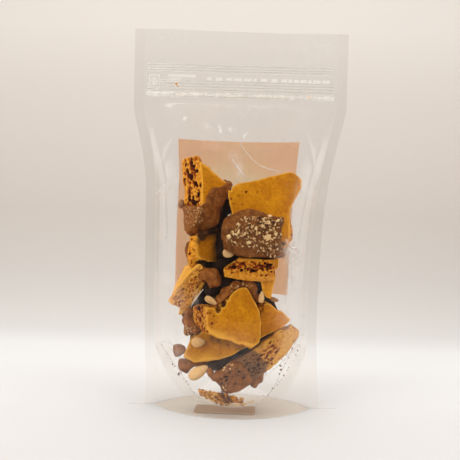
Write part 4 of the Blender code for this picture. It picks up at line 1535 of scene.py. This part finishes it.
def under_the_pouch(s, place):
    """1 on the floor between the two skirts, else 0."""
    angle = float(opening_angle(0.0))
    radius = HALF_PANEL / angle * MM
    reach = s.math("ADD", s.math("ABSOLUTE", place.outputs["Y"]), radius * math.cos(angle))
    across = s.times(place.outputs["X"], place.outputs["X"])
    squared = s.math("ADD", across, s.times(reach, reach))
    return s.math("LESS_THAN", squared, (radius - 0.3 * MM) ** 2)


def studio_paper():
    """The material of floor and backdrop, whose tones go by their place in metres: painted shade
    where the light falls off.

    The floor that the skirts enclose is darker, because little light gets in there.
    """
    s = Shading("studio_paper")
    place = s.add("SeparateXYZ", {"Vector": s.place()})
    deep, high = place.outputs["Y"], place.outputs["Z"]
    wall = s.ramp(s.spread(high, 0.03, 0.37), *WALL_TONES)
    floor = s.ramp(s.spread(deep, -0.10, 0.12), *FLOOR_TONES)
    floor = s.mix(s.ramp(s.spread(deep, -0.10, -0.26), (0, 0), (1, 0.9)), floor, FRONT_FALLOFF_SHADE)
    floor = s.mix(under_the_pouch(s, place), floor, INSIDE_SKIRTS)
    return s.done(s.surface(s.mix(s.spread(deep, 0.20, 0.50), floor, wall), 0.9))


def stage_surface():
    """Floor and backdrop as one sheet, with a cove between them."""
    profile = [(-FLOOR_REACH, 0), (FLOOR_FRONT, 0), (0, 0), (COVE_START, 0)]
    for i in range(1, COVE_STEPS + 1):
        turn = math.pi / 2 * i / COVE_STEPS
        profile.append((COVE_START + COVE_RADIUS * math.sin(turn), COVE_RADIUS * (1 - math.cos(turn))))
    profile.append((COVE_START + COVE_RADIUS, WALL_TOP))
    points = [(x, y, z) for x in (-FLOOR_REACH, FLOOR_REACH) for y, z in profile]
    mesh_object("studio_paper", points, grid_faces(2, len(profile)).tolist(), studio_paper())


def area_light(name, place, target, size, power):
    """A lamp at a place in millimetres, aimed at a target."""
    light = bpy.data.lights.new(name, "AREA")
    light.shape = "RECTANGLE"
    light.size, light.size_y = size[0] * MM, size[1] * MM
    light.energy = power
    lamp = bpy.data.objects.new(name, light)
    lamp.location = Vector(place) * MM
    lamp.rotation_euler = (Vector(target) - Vector(place)).to_track_quat("-Z", "Y").to_euler()
    bpy.context.scene.collection.objects.link(lamp)
    return lamp


def studio_world():
    """Soft light from all around, weaker from the front."""
    world = bpy.data.worlds.new("studio")
    world.use_nodes = True
    nodes, links = world.node_tree.nodes, world.node_tree.links
    background = nodes["Background"]
    background.inputs["Color"].default_value = (0.92, 0.88, 0.84, 1)
    split, level = nodes.new("ShaderNodeSeparateXYZ"), nodes.new("ShaderNodeMapRange")
    links.new(nodes.new("ShaderNodeTexCoord").outputs["Generated"], split.inputs[0])
    links.new(split.outputs["Y"], level.inputs["Value"])
    level.interpolation_type = "SMOOTHSTEP"
    for key, value in (("From Min", -0.65), ("From Max", 0.15), ("To Min", 0.07), ("To Max", 0.315)):
        level.inputs[key].default_value = value
    links.new(level.outputs[0], background.inputs["Strength"])
    bpy.context.scene.world = world


AIM = (0, 0, 100)


def studio_light():
    area_light("spark_box", (-160, -330, 860), AIM, (150, 150), 0.25)
    area_light("left_box", (-800, 130, 400), AIM, (560, 1100), 1.75)
    area_light("right_box", (800, 130, 400), AIM, (560, 1100), 1.85)
    area_light("back_box", (0, 420, 640), (0, 0, 60), (800, 300), 0.7).visible_camera = False
    # These light the candy alone: the film would show them as a veil over it
    for name, place, power in (("top_box", (0, -60, 900), 2.65), ("front_box", (20, -860, 460), 1.85),
                               ("left_fill", (-620, -560, 330), 5.8), ("right_fill", (660, -480, 360), 4.2)):
        area_light(name, place, AIM, (700, 560), power).visible_glossy = False
    area_light("backdrop_box", (0, 250, 900), (0, 520, 150), (900, 300), 0.56)


CAMERA_PLACE = (-3.7, -400.0, 99.2)
CAMERA_ROLL = math.radians(1.6)
CAMERA_LENS = 55.53


def camera():
    data = bpy.data.cameras.new("camera")
    data.lens = CAMERA_LENS
    data.sensor_width = 36
    data.clip_start, data.clip_end = 0.01, 20
    held = bpy.data.objects.new("camera", data)
    level = Euler((math.pi / 2, 0, 0)).to_matrix()
    held.rotation_euler = (level @ Matrix.Rotation(CAMERA_ROLL, 3, "Z")).to_euler()
    held.location = Vector(CAMERA_PLACE) * MM
    bpy.context.scene.collection.objects.link(held)
    bpy.context.scene.camera = held


def colour_management():
    scene = bpy.context.scene
    scene.view_settings.view_transform = "Standard"
    scene.view_settings.look = "None"
    scene.cycles.transparent_max_bounces = 24


# ---------------------------------------------------------------- the scene

camera()
colour_management()
stage_surface()
studio_world()
studio_light()

for number, description in enumerate(PIECES, FIRST_SEED):
    make = slab if "outline" in description else chocolate_lump
    make(seed=number, **description)
for number, (*form, dip) in enumerate(BACK_SLABS, FIRST_SEED + len(PIECES)):
    slab(*form, seed=number, dip=dip, gloom=1)

chopped_nuts()
sprinkled_bits()
loose_nuts()
base_crumbs()
seal_specks()

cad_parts["back_label"].data.materials[0] = paper_material(
    "label_paper", (0.93, 0.74, 0.585), (0.91, 0.77, 0.60), (0.94, 0.86, 0.73), 0.85, label_print
)
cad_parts["date_label"].data.materials[0] = paper_material(
    "date_paper", (0.66, 0.45, 0.28), (0.70, 0.49, 0.31), (0.74, 0.53, 0.35), 0.1
)

FILM = film_material("clear_film", (0.995, 0.993, 0.988), 0.002)
SEALED_FILM = film_material("sealed_film", (0.988, 0.982, 0.972), 0.006)
film_panel("film_front", FRONT, FILM, SEALED_FILM, seed=21)
film_panel("film_back", BACK, FILM, SEALED_FILM, seed=22)
gusset_film(film_material("gusset_film", (0.992, 0.988, 0.980), 0.004, 0.10))
zip_ribs(film_material("zip_plastic", (0.985, 0.98, 0.97), 0.12, 0.35))
zip_print(film_material("white_ink", (0.98, 0.975, 0.97), 0.85, 0.2))
# Milky tubes: painted highlights along the creases and the bottom edges, and the seal's weld lines
film_creases(film_material("creased_film", (0.98, 0.975, 0.97), 0.6, 0.6))
